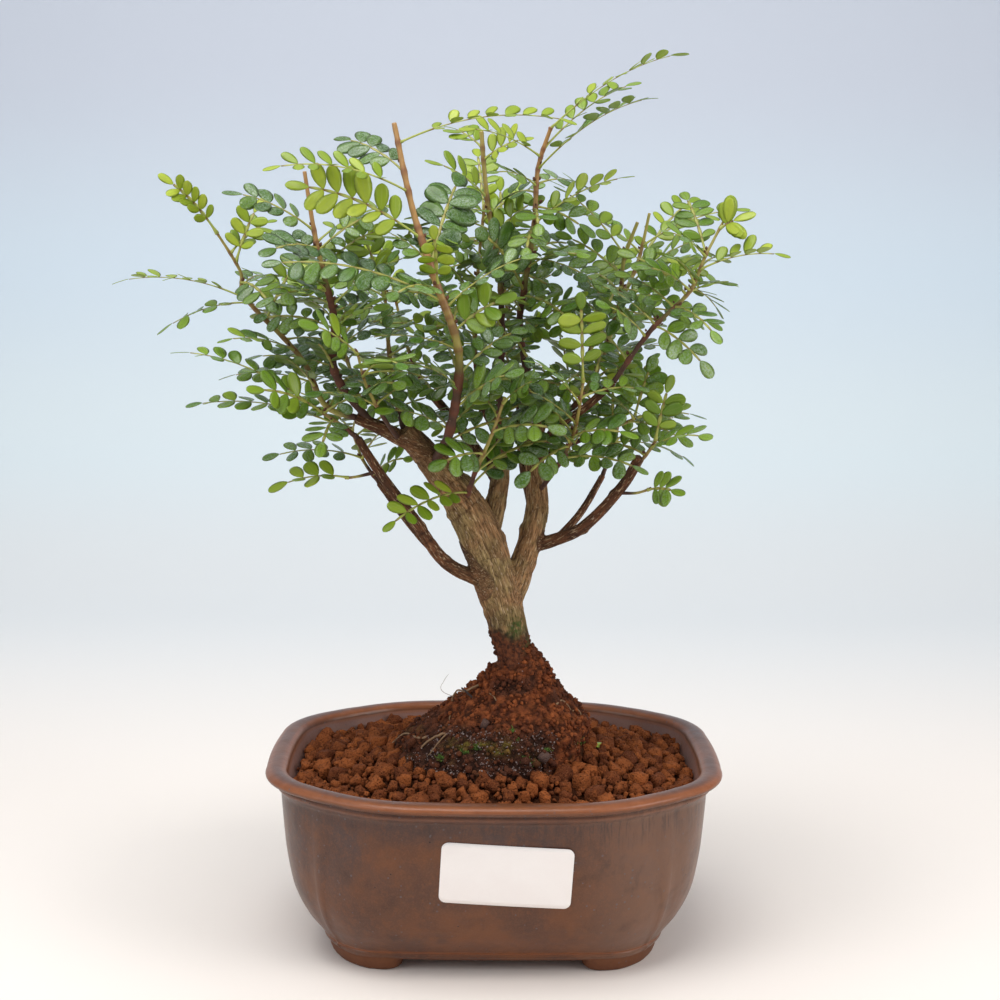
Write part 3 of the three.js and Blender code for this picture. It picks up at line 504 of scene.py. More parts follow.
def frond_points(frond):
    """Points 2 mm apart over the frond's blade."""
    length = separation(frond["foot"], frond["tip"])
    d = 3
    while d <= length:
        t = d / length
        wide = 0 if t < BLADE["petiole"] else frond["leaflet"] * min(1, 3 * (1.05 - t))
        steps = floor(wide / 2)
        middle, _, across, up = frond_frame(frond, t)
        for i in range(-steps, steps + 1):
            s = i * wide / steps if steps else 0
            yield plus(plus(middle, across, s), up, -BLADE["arch"] * s * s)
        d += 2


def known_frond_copies(shoot, known):
    share, x, y, z, face, leaflet = known
    foot = along(shoot["way"], share)
    for size in (1, 0.86):
        for turn in (0, 25, -25):
            for depth in (0, 4, -4, 8, -8, 12, -12, 17, -17):
                tip = tuple(f + (v - f) * size for f, v in zip(foot, (x, y + depth, z)))
                yield dict(foot=foot, tip=tip, face=face + turn, leaflet=leaflet, share=share)


def further_frond_copies(shoot, index, draw):
    share = 0.28 + 0.66 * (index + 0.5) / max(shoot["more"], 1) + draw(-0.05, 0.05)
    foot = along(shoot["way"], share)
    length = draw(27, 37)
    rise = draw(-0.1, 0.45)
    face = draw(5, 40)
    leaflet = draw(4.8, 5.6)
    outward = atan2(foot[1] - 2, foot[0])
    for size in (1, 0.84, 0.7):
        for turn in range(9):
            bearing = outward + (turn + index) * GOLDEN_ANGLE * 0.5
            climb = rise + 0.25 * (turn % 3 - 1)
            reach = length * size
            flat = reach * cos(climb)
            step = (flat * cos(bearing), flat * sin(bearing), reach * sin(climb))
            yield dict(foot=foot, tip=plus(foot, step), face=face, leaflet=leaflet, share=share)


def place_fronds():
    """Each shoot's fronds, the known ones first, with their ages: 0 is just unfolded and 1 is old."""
    draw = Draws(12)
    ages = Draws(31)
    room = Room()
    for name, way in LIMBS.items():
        room.take_stem(way, name)
    for name, shoot in SHOOTS.items():
        room.take_stem(shoot_way(shoot), name)
    fronds = {name: [] for name in SHOOTS}
    for name, shoot in SHOOTS.items():
        for number, (*known, age) in enumerate(shoot["fronds"]):
            frond = room.first_fit(known_frond_copies(shoot, known), name)
            if frond:
                spacing, fold, face = OWN_LOOKS.get((name, number), (LEAFLET_SPACING, None, frond["face"]))
                fronds[name].append(dict(frond, age=age, spacing=spacing, fold=fold, face=face))
    for name, shoot in SHOOTS.items():
        for index in range(shoot["more"]):
            frond = room.first_fit(further_frond_copies(shoot, index, draw), name)
            age = min(max(0.95 - 0.75 * (frond["share"] if frond else 0) + ages(-0.2, 0.2), 0.1), 1)
            if frond:
                fronds[name].append(dict(frond, age=age))
    fill_crown(room, fronds)
    return fronds


def fill_crown(room, fronds):
    """Short, mostly old fronds in the gaps that the solids' fronds leave."""
    draw = Draws(55)
    for name, shoot in SHOOTS.items():
        count = round(way_length(shoot["way"]) / FILLING["step"])
        ends_bare = name in STEM_LOOKS and STEM_LOOKS[name][2]
        for index in range(count):
            copies = filling_copies(shoot, (index + draw(0, 1)) / count, 0.66 if ends_bare else 0.86, draw)
            frond = room.first_fit(copies, name, FILLING["clearance"])
            if frond:
                x, _, z = frond["tip"]
                age = draw(0.25, 0.85) + 0.15 * ramp(240, 190, z) - 0.25 * ramp(15, 50, x)
                if draw(0, 1) > 0.08 + 0.42 * ramp(20, 45, x) * ramp(170, 200, z):
                    fronds[name].append(dict(frond, age=age))


def filling_copies(shoot, share, reach, draw):
    share = 0.1 + reach * share
    foot = along(shoot["way"], share)
    length = draw(*FILLING["lengths"])
    start = draw(0, 2 * pi)
    face = draw(5, 60)
    leaflet = draw(4.2, 5)
    for size in (1, 0.82, 0.66):
        for turn in range(10):
            bearing = start + turn * GOLDEN_ANGLE
            climb = -0.35 + 0.22 * (turn % 5)
            flat = length * size * cos(climb)
            tip = plus(foot, (flat * cos(bearing), flat * sin(bearing), length * size * sin(climb)))
            away = [(v - m) / h for v, m, h in zip(tip, FILLING["middle"], FILLING["half"])]
            if dot(away, away) < 1:
                yield dict(foot=foot, tip=tip, face=face, leaflet=leaflet, share=share)


# Meshes
pot_low, pot_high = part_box("pot")
PLAN_ORIGIN = (
    (pot_low.x + pot_high.x) * 500 - MIDDLE_X,
    (pot_low.y + pot_high.y) * 500 - MIDDLE_Y,
    0,
)


def metres(point):
    return tuple((v + o) / 1000 for v, o in zip(point, PLAN_ORIGIN))


class Shape:
    """Points in plan millimetres, faces, and named values at the points."""

    def __init__(self, *names):
        self.points = []
        self.faces = []
        self.values = {name: [] for name in names}

    def loft(self, rings, ends=True, around=False, **values):
        """A skin over rings; ends closes both ends, and around joins the last ring to the first."""
        first = len(self.points)
        count = len(rings[0])
        for r in range(len(rings) - (0 if around else 1)):
            low = first + r * count
            high = first + (r + 1) % len(rings) * count
            for i in range(count):
                j = (i + 1) % count
                self.faces.append((low + i, low + j, high + j, high + i))
        if ends:
            last = first + (len(rings) - 1) * count
            self.faces.append(tuple(reversed(range(first, first + count))))
            self.faces.append(tuple(range(last, last + count)))
        for ring in rings:
            self.points += ring
        for name, held in self.values.items():
            given = values.get(name, 0)
            held += given if isinstance(given, list) else [given] * (len(rings) * count)

    def make(self, name, *finishes):
        made = mesh_object(name, [metres(p) for p in self.points], self.faces, **self.values)
        for finish in finishes:
            made.data.materials.append(finish)
        return made


def store(mesh, name, held, is_vector=False):
    """Keeps a named value, or a vector, for each point of a mesh."""
    kept = mesh.attributes.new(name, "FLOAT_VECTOR" if is_vector else "FLOAT", "POINT")
    kept.data.foreach_set("vector" if is_vector else "value", held)


def mesh_object(name, points, faces, **values):
    """A smooth mesh with its points in metres and named values at the points."""
    mesh = bpy.data.meshes.new(name)
    mesh.from_pydata(points, [], faces)
    mesh.polygons.foreach_set("use_smooth", [True] * len(faces))
    for label, held in values.items():
        store(mesh, label, held)
    mesh.update()
    return link(bpy.data.objects.new(name, mesh))


def link(made):
    bpy.context.scene.collection.objects.link(made)
    return made


def discard(made):
    bpy.data.objects.remove(made, do_unlink=True)


def ring_about(middle, radius, side, up, sides, wobble=None, height=None):
    """A ring, oval with a height: wobble gives each point's share of the radius from its angle."""
    ring = []
    for i in range(sides):
        angle = 2 * pi * i / sides
        reach = radius * (wobble(angle) if wobble else 1)
        ring.append(plus(plus(middle, side, reach * cos(angle)), up, (height or reach) * sin(angle)))
    return ring


def bake(made, name, finish=None):
    """The evaluated object as a plain mesh object with no modifiers; the first object is removed."""
    state = bpy.context.evaluated_depsgraph_get()
    final = made.evaluated_get(state)
    mesh = bpy.data.meshes.new_from_object(final, preserve_all_data_layers=True, depsgraph=state)
    discard(made)
    mesh.name = name
    if finish:
        mesh.materials.clear()
        mesh.materials.append(finish)
    return link(bpy.data.objects.new(name, mesh))


def join(name, parts):
    """Makes one object of several, with their values and finishes kept."""
    first = parts[0]
    with bpy.context.temp_override(active_object=first, object=first, selected_objects=parts,
                                   selected_editable_objects=parts):
        bpy.ops.object.join()
    first.name = name
    first.data.name = name
    return first


def settle(piece, slot, *nodes):
    """Hands a finished piece to the frame."""
    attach(piece, "root")
    if nodes:
        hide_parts(*nodes)


# Node trees
class Nodes:
    """Adds nodes to a tree, with values or links for their inputs."""

    def __init__(self, tree):
        self.tree = tree

    def add(self, kind, inputs=None, **settings):
        node = self.tree.nodes.new(kind)
        for name, value in settings.items():
            setattr(node, name, value)
        for name, value in (inputs or {}).items():
            if isinstance(value, bpy.types.NodeSocket):
                self.tree.links.new(value, node.inputs[name])
            else:
                node.inputs[name].default_value = value
        return node

    def maths(self, operation, a, b=0):
        return self.add("ShaderNodeMath", {0: a, 1: b}, operation=operation).outputs[0]

    def times(self, a, b):
        return self.maths("MULTIPLY", a, b)

    def between(self, value, low, high, start=0, end=1):
        """A smooth step of the value from low to high."""
        inputs = {"Value": value, "From Min": low, "From Max": high, "To Min": start, "To Max": end}
        return self.add("ShaderNodeMapRange", inputs, interpolation_type="SMOOTHSTEP").outputs[0]

    def noise(self, place, scale, detail=2, roughness=0.5, distortion=0):
        inputs = {"Vector": place, "Scale": scale, "Detail": detail, "Roughness": roughness,
                  "Distortion": distortion}
        return self.add("ShaderNodeTexNoise", inputs).outputs[0]

    def cells(self, place, scale):
        return self.add("ShaderNodeTexVoronoi", {"Vector": place, "Scale": scale}).outputs[0]

    def stretch(self, place, factors):
        return self.add("ShaderNodeVectorMath", {0: place, 1: factors}, operation="MULTIPLY").outputs[0]

    def colour(self, share, first, second):
        """A mix of two colours, each a socket or red, green and blue."""
        given = [c if isinstance(c, bpy.types.NodeSocket) else (*c, 1) for c in (first, second)]
        return self.add("ShaderNodeMix", {0: share, 6: given[0], 7: given[1]}, data_type="RGBA").outputs[2]

    def value(self, name):
        return self.add("ShaderNodeAttribute", attribute_name=name).outputs["Fac"]

    def values(self, *names):
        return [self.value(name) for name in names]

    def place(self):
        return self.add("ShaderNodeTexCoord").outputs["Object"]

    def relief(self, height, distance, strength=1, under=None):
        inputs = {"Height": height, "Distance": distance, "Strength": strength}
        if under:
            inputs["Normal"] = under
        return self.add("ShaderNodeBump", inputs).outputs[0]


def shader_group(name, outputs, **inputs):
    """The nodes, inputs and scale of a shader group that takes a place and numbers and gives numbers."""
    tree = bpy.data.node_groups.new(name, "ShaderNodeTree")
    tree.interface.new_socket("Place", in_out="INPUT", socket_type="NodeSocketVector")
    for label, default in inputs.items():
        socket = tree.interface.new_socket(label, in_out="INPUT", socket_type="NodeSocketFloat")
        socket.default_value = default
    for label in outputs:
        tree.interface.new_socket(label, in_out="OUTPUT", socket_type="NodeSocketFloat")
    nodes = Nodes(tree)
    given = nodes.add("NodeGroupInput").outputs
    return nodes, given, nodes.maths("DIVIDE", 1, given["Size"])


def patches_group():
    """Soft cloudy patches, from 0 to 1, of a given size in metres."""
    nodes, given, scale = shader_group("soft patches", ["Mask"], Size=0.01, Low=0.4, High=0.6)
    cloud = nodes.noise(given["Place"], scale, 4, 0.55, 0.3)
    nodes.add("NodeGroupOutput", {"Mask": nodes.between(cloud, given["Low"], given["High"])})
    return nodes.tree


def specks_group():
    """Round specks: a mask, and how many of the cells carry one."""
    nodes, given, scale = shader_group("small specks", ["Mask"], Size=0.001, Share=0.2, Width=0.25)
    cell = nodes.add("ShaderNodeTexVoronoi", {"Vector": given["Place"], "Scale": scale})
    tint = nodes.add("ShaderNodeSeparateColor", {"Color": cell.outputs["Color"]}).outputs[0]
    chosen = nodes.maths("LESS_THAN", tint, given["Share"])
    spot = nodes.between(cell.outputs["Distance"], given["Width"], nodes.times(given["Width"], 0.6))
    nodes.add("NodeGroupOutput", {"Mask": nodes.times(chosen, spot)})
    return nodes.tree


def crumb_group():
    """The relief of crumbly earth: lumps with fine grit on them."""
    nodes, given, scale = shader_group("earth crumb", ["Height", "Grit"], Size=0.001)
    lumps = nodes.noise(given["Place"], scale, 3, 0.65)
    grit = nodes.noise(given["Place"], nodes.times(scale, 3.4), 2, 0.6)
    pores = nodes.cells(given["Place"], nodes.times(scale, 1.7))
    height = nodes.maths("ADD", nodes.times(lumps, 0.6), nodes.times(grit, 0.25))
    height = nodes.maths("ADD", height, nodes.times(pores, 0.3))
    nodes.add("NodeGroupOutput", {"Height": height, "Grit": grit})
    return nodes.tree


PATCHES = patches_group()
SPECKS = specks_group()
CRUMB = crumb_group()


class Finish(Nodes):
    """A material with one Principled shader, built up from its nodes."""

    def __init__(self, name, **settings):
        self.material = bpy.data.materials.new(name)
        self.material.use_nodes = True
        super().__init__(self.material.node_tree)
        self.shader = self.tree.nodes["Principled BSDF"]
        for label, value in settings.items():
            self.shader.inputs[label.replace("_", " ")].default_value = value

    def group(self, tree, **inputs):
        return self.add("ShaderNodeGroup", inputs, node_tree=tree).outputs

    def patches(self, place, size, low=0.4, high=0.6):
        return self.group(PATCHES, Place=place, Size=size, Low=low, High=high)["Mask"]

    def specks(self, place, size, share, width=0.25):
        return self.group(SPECKS, Place=place, Size=size, Share=share, Width=width)["Mask"]

    def paint(self, share, colour):
        """Lays a colour over the skin so far."""
        self.skin = self.colour(share, self.skin, colour)

    def finish(self, roughness=None, normal=None):
        self.tree.links.new(self.skin, self.shader.inputs["Base Color"])
        if roughness is not None:
            self.tree.links.new(roughness, self.shader.inputs["Roughness"])
        if normal is not None:
            self.tree.links.new(normal, self.shader.inputs["Normal"])
        return self.material


# Materials
def glaze_finish():
    """Brown stoneware glaze: rust brown, purple-grey clouds above, orange where thin, runs under the lip."""
    made = Finish("brown pot glaze", Specular_IOR_Level=0.32, Coat_Weight=0.07, Coat_Roughness=0.14)
    place = made.place()
    height = made.value("height")
    sideways = made.add("ShaderNodeSeparateXYZ", {0: place}).outputs[0]
    rust = made.patches(made.stretch(place, (1, 1, 0.75)), 0.018, 0.35, 0.7)
    made.skin = made.colour(rust, (0.088, 0.034, 0.018), (0.165, 0.054, 0.015))
    body = made.between(height, 58.4, 57.4)
    upper = made.times(made.between(height, 18, 50, 0.15), made.between(body, 0, 1, 0.25))
    dusk = made.times(made.patches(place, 0.022, 0.35, 0.66), upper)
    under_lip = made.times(made.between(height, 44, 53, 0, 0.75), body)
    dusk = made.maths("MAXIMUM", dusk, under_lip)
    made.paint(dusk, (0.074, 0.04, 0.034))
    mottle = made.noise(place, 420, 4, 0.75)
    made.paint(made.between(mottle, 0.45, 0.7, 0, 0.4), (0.19, 0.062, 0.02))
    # Painted highlight: the body is made lighter towards the right end, where the right-hand light falls on
    # its flank.
    painted_highlight_end = made.times(made.between(sideways, 0.034, 0.062, 0, 0.55), body)
    made.paint(painted_highlight_end, (0.2, 0.105, 0.065))
    shade = made.patches(made.stretch(place, (1, 1, 0.8)), 0.007, 0.5, 0.75)
    made.paint(made.times(shade, 0.45), (0.04, 0.02, 0.016))
    streak = made.noise(made.stretch(place, (1, 1, 0.12)), 620, 3, 0.75)
    fade = made.times(made.between(height, 42, 54), made.between(sideways, -0.02, 0.06, 0.5, 1))
    runs = made.times(made.times(made.between(streak, 0.46, 0.62), fade), body)
    made.paint(made.times(runs, 0.55), (0.034, 0.025, 0.024))
    inner = made.colour(dusk, (0.32, 0.14, 0.085), (0.28, 0.17, 0.15))
    made.paint(made.value("inner"), inner)
    warm = made.noise(place, 260, 3, 0.6)
    orange = made.colour(warm, (0.19, 0.054, 0.017), (0.36, 0.125, 0.05))
    made.paint(made.value("thin"), orange)
    bare = made.value("bare")
    clay = made.colour(made.noise(place, 700, 3), (0.12, 0.038, 0.013), (0.19, 0.065, 0.024))
    made.paint(bare, clay)
    grit = made.noise(place, 1900, 2, 0.6)
    made.paint(made.between(grit, 0.4, 0.75, 0, 0.25), (0.19, 0.085, 0.045))
    ash = made.times(made.specks(place, 0.0022, 0.4, 0.2), made.between(rust, 0.9, 0.2, 0.1, 0.6))
    made.paint(ash, (0.12, 0.105, 0.11))
    pits = made.specks(place, 0.0042, 0.28, 0.085)
    made.paint(made.times(pits, 0.8), (0.015, 0.009, 0.008))
    rough = made.maths("ADD", made.times(grit, 0.16), 0.26)
    rough = made.maths("ADD", rough, made.times(bare, 0.35))
    swell = made.relief(made.noise(place, 130, 2), 0.0006, 0.5)
    fine = made.relief(made.maths("SUBTRACT", made.times(grit, 0.5), pits), 0.00015, 0.5, swell)
    return made.finish(rough, fine)


def paper_finish():
    made = Finish("blank label paper", Roughness=0.55)
    place = made.place()
    fibre = made.noise(place, 2600, 3, 0.7)
    tone = made.patches(place, 0.012, 0.3, 0.7)
    made.skin = made.colour(tone, (0.93, 0.87, 0.84), (0.95, 0.9, 0.87))
    made.paint(made.between(fibre, 0.3, 0.8, 0, 0.2), (0.85, 0.8, 0.77))
    return made.finish(normal=made.relief(fibre, 0.00005, 0.3))


def plastic_finish():
    made = Finish("black drain plastic", Roughness=0.5)
    place = made.place()
    dust = made.patches(place, 0.003, 0.45, 0.75)
    made.skin = made.colour(dust, (0.012, 0.014, 0.012), (0.09, 0.05, 0.035))
    return made.finish(normal=made.relief(made.noise(place, 900, 3), 0.0001, 0.4))


def akadama_finish():
    """Fired-clay grains: each its own brown, with grit, pale dust on top and painted shade in pits and gaps.
    """
    made = Finish("akadama grains", Roughness=0.95, Specular_IOR_Level=0.12)
    place = made.place()
    tone, sunk = made.values("tone", "sunk")
    crumb = made.group(CRUMB, Place=place, Size=0.0011)
    height, grit = crumb["Height"], crumb["Grit"]
    made.skin = made.colour(tone, (0.105, 0.027, 0.011), (0.33, 0.092, 0.025))
    made.paint(made.patches(place, 0.0045, 0.5, 0.78), (0.31, 0.088, 0.024))
    made.paint(made.between(grit, 0.4, 0.75, 0, 0.45), (0.38, 0.14, 0.055))
    # Painted shade: the low parts of the crumbly relief and the pits are darkened as if shade lay in them.
    painted_hollow_shade = made.between(height, 0.55, 0.38, 0, 0.8)
    made.paint(painted_hollow_shade, (0.05, 0.012, 0.005))
    pitted = made.cells(place, 950)
    made.paint(made.between(pitted, 0.28, 0.12, 0, 0.6), (0.045, 0.011, 0.005))
    pale = made.specks(place, 0.0035, 0.06, 0.1)
    made.paint(pale, (0.6, 0.5, 0.42))
    # Painted shade: the bed under the grains is darkened where it shows in the gaps between them.
    made.paint(sunk, (0.022, 0.008, 0.005))
    pits = made.relief(made.between(pitted, 0.1, 0.4), 0.0004, 0.6)
    return made.finish(normal=made.relief(height, 0.001, 0.95, pits))


def root_earth_finish():
    """Old root-ball earth: red-brown crumbs above, dark wet earth and moss in front, white flecks."""
    made = Finish("root ball earth", Roughness=0.92, Specular_IOR_Level=0.15)
    place = made.place()
    dark, green, tone, fleck, gap = made.values("dark", "green", "tone", "fleck", "gap")
    crumb = made.group(CRUMB, Place=place, Size=0.0008)
    height, grit = crumb["Height"], crumb["Grit"]
    red = made.colour(tone, (0.13, 0.034, 0.014), (0.38, 0.107, 0.034))
    red = made.colour(made.patches(place, 0.003, 0.45, 0.72), red, (0.085, 0.026, 0.014))
    wet = made.colour(made.between(grit, 0.35, 0.75), (0.027, 0.01, 0.007), (0.17, 0.066, 0.038))
    made.skin = made.colour(dark, red, wet)
    moss = made.colour(made.noise(place, 900, 3), (0.12, 0.085, 0.012), (0.32, 0.25, 0.045))
    made.paint(made.times(green, made.between(grit, 0.35, 0.6)), moss)
    white = made.specks(place, 0.0011, 0.14, 0.2)
    white = made.times(white, made.between(dark, 0.2, 0.8, 0.1, 0.9))
    white = made.maths("MAXIMUM", white, fleck)
    made.paint(white, (0.42, 0.34, 0.32))
    # Painted shade: the low parts of the crumbly relief and the gaps between the clods are darkened as if
    # shade lay in them.
    painted_hollow_shade = made.between(height, 0.52, 0.34, 0, 0.6)
    made.paint(painted_hollow_shade, (0.015, 0.006, 0.004))
    made.paint(made.times(gap, 0.75), (0.014, 0.006, 0.004))
    return made.finish(normal=made.relief(height, 0.0008, 0.9))


def root_finish():
    made = Finish("pale surface roots", Roughness=0.7)
    place = made.place()
    tone = made.value("tone")
    grain = made.noise(place, 1200, 3, 0.6)
    made.skin = made.colour(grain, (0.2, 0.1, 0.045), (0.4, 0.25, 0.13))
    made.paint(tone, (0.035, 0.018, 0.014))
    made.paint(made.patches(place, 0.003, 0.55, 0.75), (0.1, 0.04, 0.02))
    return made.finish(normal=made.relief(grain, 0.0003, 0.6))


def moss_finish():
    made = Finish("green moss", Roughness=0.85)
    tone = made.value("tone")
    place = made.place()
    made.skin = made.colour(tone, (0.03, 0.085, 0.012), (0.2, 0.38, 0.05))
    made.paint(made.noise(place, 1500, 2), (0.08, 0.14, 0.02))
    return made.finish(normal=made.relief(made.noise(place, 3000), 0.0002, 0.5))


def bark_finish():
    """Brown bark with an olive cast: pale ridges, painted shade in furrows, flecks, earth stains and moss low
    down.
    """
    made = Finish("trunk bark", Roughness=0.85, Specular_IOR_Level=0.3)
    place = made.place()
    grain = made.add("ShaderNodeAttribute", attribute_name="grain").outputs["Vector"]
    furrow, stain, young = made.values("furrow", "stain", "young")
    drawn_out = made.stretch(grain, (1, 1, 0.16))
    broad = made.noise(drawn_out, 1 / FISSURE_SIZE, 3, 0.6, 0.4)
    fine = made.noise(drawn_out, 2.6 / FISSURE_SIZE, 2, 0.6)
    crease = made.maths("ABSOLUTE", made.maths("SUBTRACT", broad, 0.5))
    olive = made.patches(place, 0.011, 0.4, 0.65)
    ridge = made.colour(olive, (0.44, 0.235, 0.105), (0.4, 0.285, 0.12))
    x, _, z = made.add("ShaderNodeSeparateXYZ", {0: place}).outputs
    # Painted shade: the left limb is darker high up, where the leaves above shade it.
    upper = made.times(made.between(z, 0.132, 0.162, 0, 0.65), made.between(x, 0, -0.008))
    ridge = made.colour(upper, ridge, (0.2, 0.105, 0.05))
    twig = made.colour(olive, (0.2, 0.078, 0.034), (0.12, 0.05, 0.026))
    ridge = made.colour(young, ridge, twig)
    # Painted shade: the furrows and ring scars take a dark colour, and the fine fissures a darker one, as if
    # shade lay in them.
    low = made.colour(young, (0.085, 0.04, 0.015), (0.038, 0.016, 0.008))
    made.skin = made.colour(furrow, ridge, low)
    made.paint(made.between(crease, 0.05, 0, 0, 0.65), (0.036, 0.016, 0.006))
    made.paint(made.between(fine, 0.56, 0.7, 0, 0.7), (0.6, 0.43, 0.25))
    lenticels = made.specks(made.stretch(grain, (1, 1, 0.45)), 0.0016, 0.22, 0.2)
    made.paint(made.times(lenticels, 0.7), (0.46, 0.34, 0.24))
    soiled = made.colour(made.between(made.noise(place, 800, 3), 0.35, 0.65), (0.045, 0.014, 0.007),
                         (0.17, 0.05, 0.018))
    made.paint(stain, soiled)
    made.paint(made.value("damp"), (0.022, 0.013, 0.007))
    moss = made.colour(made.noise(place, 1500, 2), (0.02, 0.045, 0.008), (0.1, 0.15, 0.03))
    made.paint(made.value("green"), moss)
    height = made.maths("ADD", made.times(crease, 3), made.times(fine, 0.5))
    return made.finish(normal=made.relief(height, 0.0006, 0.8))


def stem_finish():
    """Stems and leaf stalks: dark woody feet, orange or tan above, green at the tips, with red nodes."""
    made = Finish("shoot stems", Roughness=0.5)
    place = made.place()
    wood, warm, node, cut, pale = made.values("wood", "warm", "node", "cut", "pale")
    drawn = made.noise(made.stretch(place, (1, 1, 0.35)), 900, 3, 0.6)
    green = made.colour(drawn, (0.24, 0.24, 0.035), (0.4, 0.36, 0.085))
    green = made.colour(pale, green, (0.4, 0.48, 0.09))
    orange = made.colour(drawn, (0.27, 0.1, 0.03), (0.5, 0.25, 0.09))
    made.skin = made.colour(warm, green, orange)
    bark = made.colour(drawn, (0.03, 0.013, 0.008), (0.11, 0.045, 0.026))
    made.paint(wood, bark)
    specks = made.specks(place, 0.0011, 0.25, 0.2)
    made.paint(made.times(specks, 0.5), (0.4, 0.27, 0.17))
    made.paint(node, (0.16, 0.045, 0.02))
    made.paint(cut, (0.45, 0.3, 0.17))
    rough = made.maths("ADD", made.times(wood, 0.3), 0.42)
    return made.finish(rough, made.relief(drawn, 0.0002, 0.5))


def leaf_finish():
    """Leaflets: yellow-green when young, dark and glossy when old, with midrib, veins and toothed rim."""
    made = Finish("leaflets", Specular_IOR_Level=0.4, Coat_Weight=0.3, Coat_Roughness=0.12)
    place = made.place()
    age, tone = made.values("age", "tone")
    across = made.maths("ABSOLUTE", made.value("leaf_across"))
    lengthwise, top = made.values("leaf_along", "leaf_top")
    young = made.colour(tone, (0.31, 0.43, 0.018), (0.57, 0.66, 0.06))
    middle = made.colour(tone, (0.085, 0.22, 0.008), (0.3, 0.47, 0.03))
    old = made.colour(tone, (0.012, 0.066, 0.003), (0.09, 0.22, 0.018))
    made.skin = made.colour(made.between(age, 0, 0.5), young, middle)
    made.paint(made.between(age, 0.45, 1), old)
    clouds = made.noise(place, 380, 3, 0.6)
    made.paint(made.between(clouds, 0.4, 0.75, 0, 0.3), (0.24, 0.36, 0.05))
    veins = made.maths("SUBTRACT", made.times(lengthwise, 7), made.times(across, 1.5))
    wave = made.maths("ABSOLUTE", made.maths("SUBTRACT", made.maths("FRACT", veins), 0.5))
    side_vein = made.between(wave, 0.07, 0)
    rib = made.between(across, 0.12, 0.03)
    marks = made.maths("MAXIMUM", made.times(side_vein, 0.2), made.times(rib, 0.35))
    line = made.colour(made.between(age, 0.2, 0.55), (0.42, 0.5, 0.08), (0.016, 0.04, 0.008))
    made.paint(marks, line)
    # Painted sheen: silvery reflections laid into the colour of the older leaflets, in patches.
    painted_sheen_noise = made.noise(place, 1500, 4, 0.8)
    painted_sheen_patches = made.patches(place, 0.012, 0.32, 0.6)
    painted_sheen = made.times(made.between(painted_sheen_noise, 0.4, 0.62), made.between(age, 0.3, 0.7, 0, 0.75))
    made.paint(made.times(painted_sheen, painted_sheen_patches), (0.42, 0.54, 0.36))
    teeth = made.maths("SINE", made.times(lengthwise, 46))
    toothed = made.maths("ADD", across, made.times(teeth, 0.05))
    made.paint(made.between(toothed, 0.86, 0.97, 0, 0.4), (0.03, 0.06, 0.008))
    below = made.colour(age, (0.34, 0.45, 0.06), (0.12, 0.19, 0.045))
    dots = made.specks(place, 0.0012, 0.12, 0.12)
    below = made.colour(made.times(dots, 0.6), below, (0.07, 0.09, 0.02))
    made.skin = made.colour(top, below, made.skin)
    speckle = made.noise(place, 2600, 3, 0.7)
    rough = made.maths("ADD", made.times(speckle, 0.25), made.between(age, 0, 0.6, 0.32, 0.12))
    rough = made.maths("ADD", rough, made.times(made.maths("SUBTRACT", 1, top), 0.25))
    ribs = made.relief(marks, 0.00012, 0.4)
    made.finish(rough, made.relief(speckle, 0.00009, 0.5, ribs))
    glow = made.colour(0.5, made.skin, (0.5, 0.62, 0.05))
    lit = made.add("ShaderNodeBsdfTranslucent", {"Color": glow}).outputs[0]
    mixed = made.add("ShaderNodeMixShader", {0: 0.26, 1: made.shader.outputs[0], 2: lit}).outputs[0]
    made.tree.links.new(mixed, made.tree.nodes["Material Output"].inputs["Surface"])
    return made.material


# Repeats on points
def scatter_tree():
    """Puts a shape on every point with the point's turn and size, crumbles it, and lays on its material."""
    tree = bpy.data.node_groups.new("set shapes on points", "GeometryNodeTree")
    for label, kind in (("Points", "Geometry"), ("Shape", "Object"), ("Crumble", "Float"),
                        ("Crumble Size", "Float"), ("Finish", "Material")):
        tree.interface.new_socket(label, in_out="INPUT", socket_type="NodeSocket" + kind)
    tree.interface.new_socket("Pieces", in_out="OUTPUT", socket_type="NodeSocketGeometry")
    nodes = Nodes(tree)
    given = nodes.add("NodeGroupInput").outputs
    shape = nodes.add("GeometryNodeObjectInfo", {"Object": given["Shape"]}).outputs["Geometry"]
    spin, size = (
        nodes.add("GeometryNodeInputNamedAttribute", {"Name": name}, data_type="FLOAT_VECTOR").outputs[0]
        for name in ("spin", "size")
    )
    turn = nodes.add("FunctionNodeEulerToRotation", {0: spin}).outputs[0]
    laid = nodes.add("GeometryNodeInstanceOnPoints",
                     {"Points": given["Points"], "Instance": shape, "Rotation": turn, "Scale": size})
    real = nodes.add("GeometryNodeRealizeInstances", {0: laid.outputs[0]}).outputs[0]
    scale = nodes.maths("DIVIDE", 1, given["Crumble Size"])
    rough = nodes.add("ShaderNodeTexNoise", {"Scale": scale, "Detail": 2}).outputs["Color"]
    half = (0.5, 0.5, 0.5)
    wave = nodes.add("ShaderNodeVectorMath", {0: rough, 1: half}, operation="SUBTRACT").outputs[0]
    offset = nodes.add("ShaderNodeVectorMath", {0: wave, 3: given["Crumble"]}, operation="SCALE").outputs[0]
    moved = nodes.add("GeometryNodeSetPosition", {"Geometry": real, "Offset": offset}).outputs[0]
    pieces = nodes.add("GeometryNodeSetMaterial", {"Geometry": moved, "Material": given["Finish"]}).outputs[0]
    nodes.add("NodeGroupOutput", {0: pieces})
    return tree


SCATTER = scatter_tree()


